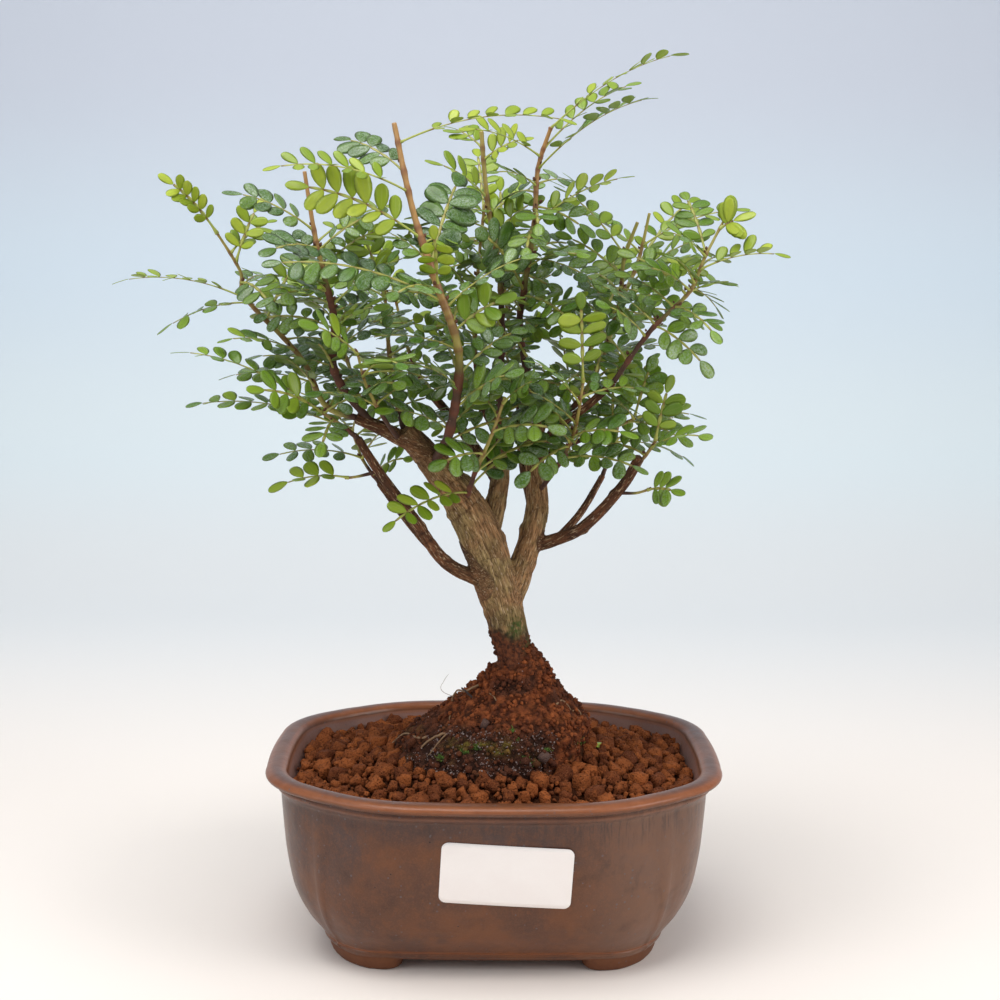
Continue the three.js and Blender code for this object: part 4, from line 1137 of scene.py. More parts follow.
def scatter(name, spots, shape, finish, crumble=0, crumble_size=1):
    """One mesh with the shape on every spot. A spot is a place, a spin, a size in mm and its named values."""
    mesh = bpy.data.meshes.new(name)
    mesh.from_pydata([metres(spot["place"]) for spot in spots], [], [])
    for label, scale in (("spin", 1), ("size", 0.001)):
        store(mesh, label, [v * scale for spot in spots for v in spot[label]], True)
    for label in spots[0]["values"]:
        store(mesh, label, [spot["values"][label] for spot in spots])
    carrier = link(bpy.data.objects.new(name, mesh))
    modifier = carrier.modifiers.new("set shapes", "NODES")
    modifier.node_group = SCATTER
    given = {"Shape": shape, "Finish": finish, "Crumble": crumble / 1000, "Crumble Size": crumble_size / 1000}
    for item in SCATTER.interface.items_tree:
        if item.name in given:
            modifier[item.identifier] = given[item.name]
    carrier.update_tag()
    made = bake(carrier, name)
    for label in ("spin", "size"):
        if label in made.data.attributes:
            made.data.attributes.remove(made.data.attributes[label])
    return made


# Pot
def plan_corners(inset, height):
    """The corners of the lip's outline moved in by an inset. Further down, the cut corners stand out more."""
    drop = max(0, BEAD["height"] - height)
    x = POT["half_width"] - inset
    y = POT["half_depth"] - inset
    front = POT["half_front"] - 0.3 * inset + 0.21 * drop
    end = POT["half_end"] - 0.54 * inset + 0.06 * drop
    return [(x, -end), (x, end), (front, y), (-front, y), (-x, end), (-x, -end), (-front, -y), (front, -y)]


def plan_ring(inset, height, per_edge=11, per_corner=10):
    """A ring round the pot: straight ends and long edges that swell, and rounded cut corners."""
    corners = plan_corners(inset, height)
    reach = POT["corner_reach"] - 0.46 * inset
    ring = []
    for i, corner in enumerate(corners):
        start = reach_towards(corner, corners[i - 1], reach)
        finish = reach_towards(corner, corners[(i + 1) % 8], reach)
        for k in range(per_corner):
            t = k / per_corner
            a, b, c = (1 - t) ** 2, 2 * t * (1 - t), t * t
            ring.append(tuple(a * p + b * q + c * r for p, q, r in zip(start, corner, finish)))
        after = reach_towards(corners[(i + 1) % 8], corner, reach)
        middle = ((finish[0] + after[0]) / 2, (finish[1] + after[1]) / 2)
        out = hypot(*middle)
        swell = POT["bow"] if i % 2 == 0 else 0.35
        for k in range(per_edge):
            t = k / per_edge
            push = swell * (1 - (2 * t - 1) ** 2) / out
            px = finish[0] + (after[0] - finish[0]) * t
            py = finish[1] + (after[1] - finish[1]) * t
            ring.append((px + middle[0] * push, py + middle[1] * push))
    return [(px + MIDDLE_X, py + MIDDLE_Y, height) for px, py in ring]


def reach_towards(corner, other, reach):
    share = reach / dist(corner, other)
    return (corner[0] + (other[0] - corner[0]) * share, corner[1] + (other[1] - corner[1]) * share)


def inset_at(profile, height):
    """How far the wall stands in from the lip at a height, by a profile that runs upwards."""
    for (i0, z0), (i1, z1) in zip(profile, profile[1:]):
        if z0 <= height <= z1:
            return blend(i0, i1, (height - z0) / (z1 - z0))
    return profile[-1][0]


def smooth_profile(points, steps=3):
    """More points on a smooth line through the given ones."""
    count = (len(points) - 1) * steps
    return [along(points, i / count) for i in range(count + 1)]


def bead_profile():
    """The rolled lip, from under its outer edge, over the top and down inside."""
    found = []
    for degrees in range(-84, 168, 12):
        angle = radians(degrees)
        found.append((BEAD["inset"] - BEAD["reach"] * cos(angle),
                      BEAD["height"] + BEAD["rise"] * sin(angle)))
    return found


def drain_ring(height, like):
    """A round ring with one point for each point of a plan ring, at the same bearing."""
    ring = []
    reach = POT["drain_radius"]
    for x, y, _ in like:
        bearing = atan2(y - MIDDLE_Y, x - MIDDLE_X)
        ring.append((MIDDLE_X + reach * cos(bearing), MIDDLE_Y + reach * sin(bearing), height))
    return ring


def hand_thrown(ring, height):
    """Slight waves of the clay, which fade out towards the foot."""
    moved = []
    for x, y, z in ring:
        wave = waves_at(x * 0.022, y * 0.022, height * 0.03 + 5) * 0.5
        outward = (wave * (x - MIDDLE_X) / 90, wave * (y - MIDDLE_Y) / 90)
        moved.append((x + outward[0], y + outward[1], z + wave * 0.5 * ramp(40, 58, height)))
    return moved


def make_pot():
    outside = smooth_profile(POT_OUTSIDE)
    bead = bead_profile()
    inside = smooth_profile(POT_INSIDE)
    rings, heights, thin, bare, inner = [], [], [], [], []
    for number, (inset, height) in enumerate(outside + bead + inside):
        ring = hand_thrown(plan_ring(inset, height), height)
        on_bead = ramp(57.3, 58, height) * ramp(8, 6.6, inset)
        line = bell((height - 7.4) / 0.5) if height < 20 else 0
        ridge = 0.34 * bell((height - 56) / 0.7) if inset < 6 else 0
        rings.append(ring)
        heights += [height] * len(ring)
        thin += [max(on_bead * bead_wear(p), line * 0.7, ridge) for p in ring]
        bare += [ramp(5.6, 4.4, height)] * len(ring)
        inner += [1 if number > len(outside) + len(bead) else 0] * len(ring)
    floor_ring = drain_ring(12, rings[0])
    under_ring = drain_ring(4.3, rings[0])
    rings += [floor_ring, under_ring]
    count = len(rings[0])
    heights += [12] * count + [4.3] * count
    thin += [0] * (2 * count)
    bare += [0.3] * count + [1] * count
    inner += [1] * count + [0] * count
    shape = Shape("height", "thin", "bare", "inner")
    shape.loft(rings, ends=False, around=True, height=heights, thin=thin, bare=bare, inner=inner)
    for sign_x in (-1, 1):
        for sign_y in (-1, 1):
            add_foot(shape, sign_x, sign_y)
    pot = shape.make("glazed_pot", glaze_finish())
    settle(pot, "pot_glaze", "pot")


def bead_wear(point):
    """Where the glaze ran thin: a copper band on the upper half of the lip, in uneven lengths."""
    x, y, z = point
    run = waves_at(x * 0.05, y * 0.05, 3.3) * 0.5 + 0.5
    band = ramp(61.1, 60.6, z) * ramp(58.8, 59.6, z)
    return min(1, 0.25 * run + band * (0.5 + 0.5 * run))


def rounded_plan(plan):
    """Cuts each corner of a closed outline, twice over, so that it runs round."""
    for _ in range(2):
        cut = []
        for i, p in enumerate(plan):
            q = plan[(i + 1) % len(plan)]
            cut.append((p[0] * 0.78 + q[0] * 0.22, p[1] * 0.78 + q[1] * 0.22))
            cut.append((p[0] * 0.22 + q[0] * 0.78, p[1] * 0.22 + q[1] * 0.78))
        plan = cut
    return plan


def add_foot(shape, sign_x, sign_y):
    """One corner foot, which runs down from the band, with a worn round edge below."""
    top = rounded_plan(FOOT_TOP)
    base = rounded_plan(FOOT_FLOOR)
    centre = (sum(p[0] for p in base) / len(base), sum(p[1] for p in base) / len(base))
    rings, bare, heights = [], [], []
    for height, pull in FOOT_EDGES:
        share = (height / FOOT_HEIGHT) ** 1.15
        ring = []
        for (x0, y0), (x1, y1) in zip(base, top):
            x = centre[0] + (blend(x0, x1, share) - centre[0]) * pull
            y = centre[1] + (blend(y0, y1, share) - centre[1]) * pull
            wave = waves_at(x * 0.2, y * 0.2, height * 0.3 + sign_x * 7 + sign_y * 3) * 0.25
            ring.append((MIDDLE_X + sign_x * (x + wave), MIDDLE_Y + sign_y * (y + wave), height))
        if sign_x * sign_y > 0:
            ring.reverse()
        rings.append(ring)
        bare += [ramp(6, 4.2, height)] * len(ring)
        heights += [height] * len(ring)
    shape.loft(rings, height=heights, bare=bare)


def make_label():
    """A blank paper label with round corners, which lies on the front of the pot."""
    tilt = radians(LABEL["tilt"])
    half_wide = LABEL["width"] / 2
    half_high = LABEL["height"] / 2
    corner = LABEL["corner"]
    columns = 40
    rows = 14

    def place(u, v, offset):
        x = LABEL["x"] + u * cos(tilt) - v * sin(tilt)
        z = LABEL["z"] + u * sin(tilt) + v * cos(tilt)
        share = (x - MIDDLE_X) / (POT["half_front"] - 6)
        swell = POT["bow"] * (1 - share * share)
        lift = 0.1 * ramp(0.86, 1, abs(u) / half_wide) * ramp(0.5, 1, abs(v) / half_high)
        return (x, MIDDLE_Y - (POT["half_depth"] - inset_at(POT_OUTSIDE, z) + swell + offset + lift), z)

    shape = Shape()
    front, back = [], []
    for i in range(columns + 1):
        u = half_wide * sin(pi * (i / columns - 0.5))
        beyond = max(0, abs(u) - (half_wide - corner))
        high = half_high - corner + sqrt(max(corner * corner - beyond * beyond, 0))
        front.append([place(u, high * (2 * k / rows - 1), 0.15 + LABEL["thick"]) for k in range(rows + 1)])
        back.append([place(u, high * (2 * k / rows - 1), 0.12) for k in range(rows + 1)])
    rings = [a + list(reversed(b)) for a, b in zip(front, back)]
    shape.loft([list(reversed(ring)) for ring in rings])
    label = shape.make("blank_label", paper_finish())
    settle(label, "label_paper", "label")


# Shapes to repeat
def unit_lump(name, cuts, roundness):
    """A lump of earth: a cube with its sides cut and swelled towards a ball, a few dozen faces."""
    points, faces, seen = [], [], {}

    def corner(p):
        key = tuple(round(v * 1000) for v in p)
        if key not in seen:
            seen[key] = len(points)
            ball = unit(p)
            points.append(tuple(blend(v * 0.74, b, roundness) for v, b in zip(p, ball)))
        return seen[key]

    for axis in range(3):
        for sign in (-1, 1):
            for i in range(cuts):
                for j in range(cuts):
                    square = []
                    for a, b in ((0, 0), (1, 0), (1, 1), (0, 1)):
                        p = [0, 0, 0]
                        p[axis] = sign
                        p[(axis + 1) % 3] = 2 * (i + a) / cuts - 1
                        p[(axis + 2) % 3] = 2 * (j + b) / cuts - 1
                        square.append(corner(tuple(p)))
                    faces.append(square if sign > 0 else square[::-1])
    return mesh_object(name, points, faces)


def leaf_outline(share):
    """Half the width of an oval leaflet at a share of its length, as a share of its widest."""
    return (1 - abs(2 * share ** 1.32 - 1) ** 2.2) ** 0.58


def unit_leaflet(name):
    """A leaflet one unit long and one wide: an upper and a lower skin that share the rim."""
    lengths = (0, 0.06, 0.2, 0.38, 0.56, 0.74, 0.88, 0.96, 1)
    widths = (-1, -0.5, 0, 0.5, 1)
    points, along_leaf, across_leaf, top_side = [], [], [], []
    index = {}

    def spot(i, j, side):
        """The upper and the lower skin meet at the rim and at both ends, so these points are made once."""
        is_end = i in (0, len(lengths) - 1)
        shared = is_end or j in (0, len(widths) - 1)
        key = (i, 0 if is_end else j, 0 if shared else side)
        if key not in index:
            share = lengths[i]
            width = 0 if is_end else widths[j]
            s = width * 0.5 * leaf_outline(share)
            curl = -0.06 * share * share - 0.18 * abs(s) ** 2 + 0.1 * abs(s)
            rise = 0 if shared else side * 0.011
            index[key] = len(points)
            points.append((share, s, curl + rise))
            along_leaf.append(share)
            across_leaf.append(width)
            top_side.append(0.5 if shared else (1 + side) / 2)
        return index[key]

    faces = []
    for side in (1, -1):
        for i in range(len(lengths) - 1):
            for j in range(len(widths) - 1):
                ring = []
                for a, b in ((i, j), (i + 1, j), (i + 1, j + 1), (i, j + 1)):
                    point = spot(a, b, side)
                    if point not in ring:
                        ring.append(point)
                if len(ring) > 2:
                    faces.append(ring if side > 0 else ring[::-1])
    return mesh_object(name, points, faces, leaf_along=along_leaf, leaf_across=across_leaf, leaf_top=top_side)


# Soil
def bed_height(x, y):
    """The height of the bed between the lip and the mound."""
    away = hypot((x - MIDDLE_X) / 65, (y - MIDDLE_Y) / 54)
    return blend(SOIL["mound_height"] - 0.4, SOIL["edge_height"] + 0.2, ramp(0.62, 1, away))


def in_pot(x, y, margin):
    """Whether a place in plan is inside the pot's inner wall, by the cut-cornered outline."""
    corners = plan_corners(inset_at(POT_INSIDE[::-1], SOIL["edge_height"]) + margin, SOIL["edge_height"])
    (half_wide, end), (front, half_deep) = corners[1], corners[2]
    x = abs(x - MIDDLE_X)
    y = abs(y - MIDDLE_Y)
    if x > half_wide or y > half_deep:
        return False
    return (x - front) * (half_deep - end) + (y - half_deep) * (half_wide - front) < 0


def on_mound(x, y, margin):
    _, radius, _ = MOUND_RINGS[2]
    return hypot(x, (y - MOUND_SET_BACK) / MOUND_DEPTH_SHARE) < radius - margin


def random_spin(draw):
    return (draw(0, 2 * pi), draw(0, 2 * pi), draw(0, 2 * pi))


def pack_grains(draw, taken, low, high, sink, near_wall):
    """Throws grains on the bed and keeps those that find room among the ones that lie there."""
    spots = []
    for _ in range(GRAIN_TRIES):
        radius = blend(low, high, draw(0, 1) ** 1.6)
        x = MIDDLE_X + draw(-1, 1) * POT["half_width"]
        y = MIDDLE_Y + draw(-1, 1) * POT["half_depth"]
        if not in_pot(x, y, radius * near_wall) or on_mound(x, y, radius * 0.4):
            continue
        i, j = floor(x / GRAIN_CELL), floor(y / GRAIN_CELL)
        near = [other for a in (-1, 0, 1) for b in (-1, 0, 1) for other in taken.get((i + a, j + b), ())]
        if any(hypot(x - ox, y - oy) < (radius + other) * 0.86 for ox, oy, other in near):
            continue
        taken.setdefault((i, j), []).append((x, y, radius))
        height = bed_height(x, y) - radius * sink + draw(-0.5, 0.5)
        size = (radius * draw(0.95, 1.35), radius * draw(0.85, 1.15), radius * draw(0.65, 0.95))
        values = dict(tone=draw(0, 1) ** 1.3, sunk=0)
        spots.append(dict(place=(x, y, height), spin=random_spin(draw), size=size, values=values))
    return spots


def make_soil():
    """The bed with its fired-clay grains: big ones side by side, small ones in the gaps, and painted shade
    between.
    """
    draw = Draws(7)
    finish = akadama_finish()
    lump = unit_lump("grain shape", 3, 0.36)
    crumb = unit_lump("small grain shape", 2, 0.4)
    taken = {}
    big = pack_grains(draw, taken, low=1.9, high=3.7, sink=0.12, near_wall=0.75)
    small_taken = {key: [(x, y, r * 0.72) for x, y, r in held] for key, held in taken.items()}
    small = pack_grains(draw, small_taken, low=0.8, high=1.7, sink=0.55, near_wall=0.7)
    bed = make_bed(finish)
    parts = [bed, scatter("big grains", big + flank_grains(), lump, finish, 2.8, 2.3),
             scatter("small grains", small, crumb, finish, 1.2, 1.2)]
    for shape in (lump, crumb):
        discard(shape)
    settle(join("akadama_bed", parts), "akadama_soil", "soil")


def flank_grains():
    """Grains that lie on the foot of the root ball, at its sides and behind."""
    draw = Draws(8)
    spots = []
    for _ in range(46):
        bearing = draw(-0.4, pi + 0.4)
        radius = draw(1.5, 3.1)
        size = (radius * draw(0.95, 1.3), radius * draw(0.85, 1.15), radius * draw(0.65, 0.95))
        values = dict(tone=draw(0, 1) ** 1.3, sunk=0)
        place = mound_point(0.01 + 0.2 * draw(0, 1) ** 2, bearing, radius * 0.35)
        spots.append(dict(place=place, spin=random_spin(draw), size=size, values=values))
    return spots


def make_bed(finish):
    """The closed body under the grains, painted dark as the shade in the gaps between them."""
    shape = Shape("tone", "sunk")
    edge = plan_ring(inset_at(POT_INSIDE[::-1], SOIL["edge_height"]) + 0.45, SOIL["edge_height"] - 2.4, 8, 3)
    rings = []
    for inset, height in reversed(smooth_profile(POT_INSIDE, 1)[3:]):
        rings.append(plan_ring(inset + 0.45, height + 0.35, 8, 3))
    rings.append(edge)
    # The bed's painted shade: full on its hidden sides, most of it on its top between the grains.
    sunk = [1] * (len(rings) * len(edge))
    for step in range(1, 30):
        share = 1 - step / 30
        ring = []
        for x, y, _ in edge:
            px = MIDDLE_X + (x - MIDDLE_X) * share
            py = MIDDLE_Y + (y - MIDDLE_Y) * share
            rough = waves_at(px * 0.45, py * 0.45, 1.7)
            ring.append((px, py, bed_height(px, py) - 2.3 + rough * 0.9))
        rings.append(ring)
        sunk += [0.75] * len(ring)
    shape.loft(rings, tone=0.3, sunk=sunk)
    return shape.make("bed", finish)


# Root mound
def mound_profile(share):
    """Centre x, radius and height of the slope at a share of the way from its sunk foot to the trunk."""
    return along(MOUND_RINGS[2:], share)


def mound_set_back(height):
    """How far behind the trunk's foot the mound's middle lies at a height."""
    foot, top = MOUND_RINGS[2][2], MOUND_RINGS[-1][2]
    return MOUND_SET_BACK * min(1, (top - height) / (top - foot))


def clods(x, y, z, size):
    """Clods side by side: 0.5 on top of one, and below 0 in the gaps."""
    return 0.5 - noise.voronoi(Vector((x / size, y / size, z / size)))[0][0]


def mound_relief(x, y, z):
    lumps = waves_at(x * 0.16, y * 0.16, z * 0.16 + 9)
    return 1.5 * lumps + 1.3 * clods(x, y, z, 3.4) + 0.9 * clods(x, y, z, 1.5)


def smooth_mound_point(share, bearing):
    centre, radius, height = mound_profile(share)
    y = mound_set_back(height) + MOUND_DEPTH_SHARE * radius * sin(bearing)
    return (centre + radius * cos(bearing), y, height)


def mound_point(share, bearing, lift=0):
    """A point on the mound's slope with its clods, or over it by a lift."""
    x, y, height = smooth_mound_point(share, bearing)
    out = SLANT * (mound_relief(x, y, height) * ramp(0, 0.08, share) + lift)
    return (x + out * cos(bearing), y + out * sin(bearing), height + out)


def bank_point(share, bearing):
    """A point of the earth banked up round the trunk's foot, highest at its right: share 1 is its middle."""
    centre, radius, height = mound_profile(1)
    reach = radius * (1 - share)
    x = centre + reach * cos(bearing)
    y = reach * sin(bearing)
    steep = blend(3, 13, ramp(-0.3, 0.9, cos(bearing)))
    rise = steep * min(share, 0.55)
    return (x, y, height + rise + SLANT * mound_relief(x, y, height + rise))


def slope_point(x, height, side):
    """The point of the mound's front slope, or with side 1 its back slope, at a height over an x."""
    share = next((k / 60 for k in range(61) if mound_profile(k / 60)[2] >= height), 1)
    centre, radius, _ = mound_profile(share)
    deep = sqrt(max(radius * radius - (x - centre) ** 2, 0))
    y = mound_set_back(height) + side * MOUND_DEPTH_SHARE * deep
    return (x, y, height + SLANT * mound_relief(x, y, height))


def earth_darkness(x, y, z):
    """How wet and dark the root ball's earth is: its lower front, and patches elsewhere."""
    front = ramp(-3, -13, y) * ramp(78, 72, z) * ramp(24, 17, x)
    left = ramp(-12, -17, x) * ramp(80, 72, z) * 0.8
    patch = ramp(0.15, 0.4, waves_at(x * 0.11, y * 0.11, z * 0.11 + 2))
    return min(1, max(front, left, patch * 0.85))


def earth_greenness(x, y, z):
    """The mossy band round the front of the root ball."""
    front = ramp(-13, -18, y) * ramp(2.6, 0.8, abs(z - 70)) * ramp(15, 7, abs(x + 2))
    broken = ramp(-0.2, 0.25, waves_at(x * 0.42, y * 0.42, z * 0.5 + 5))
    patch = ramp(0.2, 0.42, waves_at(x * 0.2, y * 0.2, z * 0.2 + 12))
    return min(1, front * broken + patch * 0.15 * ramp(80, 72, z))


def make_mound():
    draw = Draws(21)
    finish = root_earth_finish()
    shape = Shape("tone", "dark", "green", "fleck", "gap")
    sides, rows, bank_rows = 280, 96, 14
    rings, dark, green, tone, gap = [], [], [], [], []

    def add(ring, smooth_ring):
        rings.append(ring)
        for (x, y, z), smooth in zip(ring, smooth_ring):
            dark.append(earth_darkness(x, y, z))
            green.append(earth_greenness(x, y, z))
            tone.append(0.5 + 0.5 * waves_at(x * 0.6, y * 0.6, z * 0.6))
            # Painted shade between the clods, strongest deep in the gaps.
            gap.append(ramp(0.15, -0.25, clods(*smooth, 3.4) + 0.6 * clods(*smooth, 1.7)))

    bearings = [2 * pi * i / sides for i in range(sides)]
    for centre, radius, height in MOUND_RINGS[:2]:
        ring = [(centre + radius * cos(b), MOUND_SET_BACK + MOUND_DEPTH_SHARE * radius * sin(b), height)
                for b in bearings]
        add(ring, ring)
    for row in range(rows + 1):
        share = row / rows
        add([mound_point(share, b) for b in bearings], [smooth_mound_point(share, b) for b in bearings])
    for row in range(1, bank_rows):
        ring = [bank_point(row / bank_rows, b) for b in bearings]
        add(ring, ring)
    shape.loft(rings, tone=tone, dark=dark, green=green, gap=gap)
    body = shape.make("root ball", finish)
    parts = [body]
    spots = mound_crumbs(draw)
    for cuts, least, most in ((1, 0, 0.5), (2, 0.5, 9)):
        lump = unit_lump("crumb shape", cuts, 0.4)
        sized = [spot for spot in spots if least <= spot["size"][0] < most]
        parts.append(scatter(f"crumbs of {cuts} cuts", sized, lump, finish, 0.6 * cuts, 0.35 * cuts))
        discard(lump)
    settle(join("root_ball", parts), "root_soil", "root_mound")


def mound_crumbs(draw):
    """Crumbs and white flecks over the slope, and the earth that climbs the trunk's foot."""
    spots = []
    for _ in range(3400):
        share = draw(0.04, 1)
        radius = 0.2 + 0.8 * draw(0, 1) ** 2.6
        spots.append(crumb_spot(mound_point(share, draw(0, 2 * pi), radius * 0.2), radius, draw, 0))
    for _ in range(26):
        share = draw(0.05, 0.6)
        radius = draw(1.1, 1.9)
        spots.append(crumb_spot(mound_point(share, draw(0, 2 * pi), radius * 0.2), radius, draw, 0))
    for _ in range(520):
        place = mound_point(draw(0.05, 0.5), draw(-2.6, -0.9), 0.15)
        spots.append(crumb_spot(place, 0.12 + 0.26 * draw(0, 1) ** 2, draw, 0.9))
    for _ in range(120):
        radius = 0.25 + 0.9 * draw(0, 1) ** 2
        spots.append(crumb_spot(bank_point(draw(0, 0.55), draw(-1.6, 1.2)), radius, draw, 0, draw(0, 0.8)))
    for _ in range(60):
        height = 92 + 12 * draw(0, 1) ** 1.4
        place = on_trunk(height, draw(-pi, 0.3), -0.1)
        spots.append(crumb_spot(place, 0.2 + 0.6 * draw(0, 1) ** 2.5, draw, 0, draw(0.2, 0.9)))
    for height in (95.8, 97.4, 99.2, 101.5, 102.8, 104):
        place = on_trunk(height, -2.95, 0.2)
        spots.append(crumb_spot(place, draw(0.6, 1.1), draw, 0, 0.9))
    for x, height, radius in STONES:
        spots.append(crumb_spot(slope_point(x, height, -1), radius, draw, 0.16, 1))
    return spots


def on_trunk(height, bearing, lift):
    """A point on the trunk's bark at a height and a bearing about its middle."""
    for step in range(101):
        x, y, z, radius = along(LIMBS["trunk"], step / 100)
        if z >= height:
            break
    return (x + (radius + lift) * cos(bearing), y + (radius + lift) * sin(bearing), height)


def crumb_spot(place, radius, draw, fleck, dark=None):
    x, y, z = place
    values = dict(
        tone=draw(0, 1) ** 1.2,
        dark=earth_darkness(x, y, z) * draw(0.6, 1) if dark is None else dark,
        green=0 if fleck else earth_greenness(x, y, z) * draw(0, 0.8),
        fleck=fleck * draw(0.35, 1),
        gap=0,
    )
    size = (radius * draw(0.8, 1.25), radius * draw(0.8, 1.2), radius * draw(0.7, 1))
    return dict(place=place, spin=random_spin(draw), size=size, values=values)


def make_roots():
    """The roots that lie bare on the root ball, and one fine hair."""
    shape = Shape("tone")
    draw = Draws(4)
    sides = [-1] * len(ROOTS_IN_FRONT) + [1] * len(ROOTS_BEHIND)
    for number, (side_of_mound, (way, first, last)) in enumerate(zip(sides, ROOTS_IN_FRONT + ROOTS_BEHIND)):
        lifted = [plus(slope_point(x, height, side_of_mound), (0, 0, lift)) for x, height, lift in way]
        rings, tones = [], []
        for middle, radius, side, up, _, walked, _ in stations(with_radii(lifted, first, last), 0.7):
            wave = [0.35 * waves_at(walked * 0.45 + 20 * k, number * 3.1, 0.5) for k in range(3)]
            knot = 1 + 0.3 * waves_at(walked * 0.9, number * 5.3, 2)
            rings.append(ring_about(plus(middle, wave), radius * knot, side, up, 7))
            tones += [1 if number == 1 else 0.2 * draw(0, 1)] * 7
        shape.loft(rings, tone=tones)
    roots = shape.make("surface_roots", root_finish())
    settle(roots, "root_soil")


def make_moss():
    """Tufts of moss on the root ball: many small pointed leaves round a place."""
    draw = Draws(17)
    points = [(0, 0, 0), (0.12, 0.05, 0.45), (0.12, -0.05, 0.45), (0.02, 0, 1), (-0.04, 0, 0.4)]
    faces = [(0, 2, 1), (1, 2, 3), (0, 1, 4), (1, 3, 4), (0, 4, 2), (2, 4, 3)]
    sprig = mesh_object("moss leaf shape", points, faces)
    spots = []
    tufts = [(-1, *tuft) for tuft in MOSS_IN_FRONT] + [(1, *tuft) for tuft in MOSS_BEHIND]
    for side, x, height, spread in tufts:
        for _ in range(int(50 * spread)):
            across = draw(-1, 1) * spread * draw(0, 1)
            upwards = 0.7 * draw(-1, 1) * spread * draw(0, 1)
            place = plus(slope_point(x + across, height + upwards, side), (0, 0, -0.2))
            tall = draw(0.8, 1.7)
            spin = (draw(-0.9, 0.9), draw(-0.9, 0.9), draw(0, 6.28))
            spots.append(dict(place=place, spin=spin, size=(tall, tall, tall), values=dict(tone=draw(0, 1))))
    for _ in range(150):
        bearing = -1.25 + draw(-0.5, 0.5) * draw(0.2, 1)
        place = on_trunk(105.5 + 3.6 * draw(-1, 1) * draw(0.2, 1), bearing, -0.15)
        tall = draw(0.4, 0.9)
        spin = (draw(0.6, 1.9), draw(-0.6, 0.6), draw(-0.6, 0.6))
        spots.append(dict(place=place, spin=spin, size=(tall, tall, tall), values=dict(tone=draw(-0.9, 0.1))))
    tufts = scatter("moss_tufts", spots, sprig, moss_finish())
    discard(sprig)
    settle(tufts, "root_soil")


# Trunk
def limb_tube(shape, name):
    """A limb's skin: a little out of round, with its warts and, on the stout limbs, rings of old scars."""
    warts = [(share, radians(bearing), size) for limb, share, bearing, size in BARK_WARTS if limb == name]
    number = list(LIMBS).index(name)
    rings = []
    for middle, radius, side, up, _, walked, share in stations(LIMBS[name], 0.8):
        def swell(angle):
            round_off = 0.07 * waves_at(cos(angle), sin(angle), walked * 0.07 + number * 9)
            bumps = 0
            for at, bearing, size in warts:
                turn = atan2(sin(angle - bearing), cos(angle - bearing)) * radius
                rise = (share - at) * way_length(LIMBS[name])
                bumps += size * 0.6 * exp(-(turn * turn + rise * rise) / (size * size))
            return 1 + round_off + bumps / radius

        rings.append(ring_about(middle, radius, side, up, 22, swell))
    shape.loft(rings)


def bark_samples():
    """Points along all limbs with what is needed to lay the bark's grain along them."""
    samples = []
    for name, way in LIMBS.items():
        offset = list(LIMBS).index(name) * 37
        samples += [(*station, offset) for station in stations(way, 1)]
    return samples


def make_trunk():
    shape = Shape()
    for name in LIMBS:
        limb_tube(shape, name)
    body = shape.make("limbs")
    remesh = body.modifiers.new("one skin", "REMESH")
    remesh.mode = "VOXEL"
    remesh.voxel_size = 0.00042
    smooth = body.modifiers.new("soft joins", "SMOOTH")
    smooth.factor = 0.5
    smooth.iterations = 5
    bark = bark_finish()
    trunk = bake(body, "bark_trunk", bark)
    lay_bark(trunk.data)
    trunk.data.polygons.foreach_set("use_smooth", [True] * len(trunk.data.polygons))
    settle(trunk, "bark", "trunk")


def lay_bark(mesh):
    """Moves the skin in and out for furrows and ridges along each limb, and keeps the masks of its finish."""
    samples = bark_samples()
    tree = KDTree(len(samples))
    for i, sample in enumerate(samples):
        tree.insert(metres(sample[0]), i)
    tree.balance()
    count = len(mesh.vertices)
    places = np.empty(count * 3)
    normals = np.empty(count * 3)
    mesh.vertices.foreach_get("co", places)
    mesh.vertex_normals.foreach_get("vector", normals)
    places = places.reshape(-1, 3)
    normals = normals.reshape(-1, 3)
    grain = np.zeros((count, 3))
    masks = {name: np.zeros(count) for name in ("furrow", "stain", "young", "green", "damp")}
    moved = places.copy()
    for v in range(count):
        _, i, _ = tree.find(places[v])
        middle, radius, side, up, forward, walked, _, offset = samples[i]
        x, y, z = (places[v][k] * 1000 - PLAN_ORIGIN[k] for k in range(3))
        reach = plus((x, y, z), middle, -1)
        lay = (dot(reach, side), dot(reach, up), walked + dot(reach, forward) + offset)
        coarse = 1 - abs(waves_at(lay[0] * 0.62, lay[1] * 0.62, lay[2] * 0.11)) * 2.8
        fine = 1 - abs(waves_at(lay[0] * 1.2, lay[1] * 1.2, lay[2] * 0.2 + 4)) * 2.6
        furrow = max(0, coarse) * 0.4 + max(0, fine) * 0.55
        stout = ramp(1.2, 5, radius)
        scar = ring_scars(x, y, z)
        depth = (0.12 + 0.26 * stout) * furrow + scar * 0.3
        bumps = waves_at(lay[0] * 0.35, lay[1] * 0.35, lay[2] * 0.2 + 8) * 0.35 * stout
        moved[v] = places[v] - normals[v] * (depth - 0.12 - bumps) / 1000
        grain[v] = [value / 1000 for value in lay]
        # The furrow mask also carries the bark's painted shade in its furrows and scar folds.
        masks["furrow"][v] = min(1, furrow * 0.95 + scar)
        masks["young"][v] = ramp(3.4, 1.9, radius)
        masks["stain"][v] = soil_stain(x, y, z)
        masks["green"][v] = trunk_moss(x, y, z)
        masks["damp"][v] = damp_ring(x, y, z)
    mesh.vertices.foreach_set("co", moved.ravel())
    store(mesh, "grain", grain.ravel(), True)
    for name, held in masks.items():
        store(mesh, name, held)
    mesh.update()


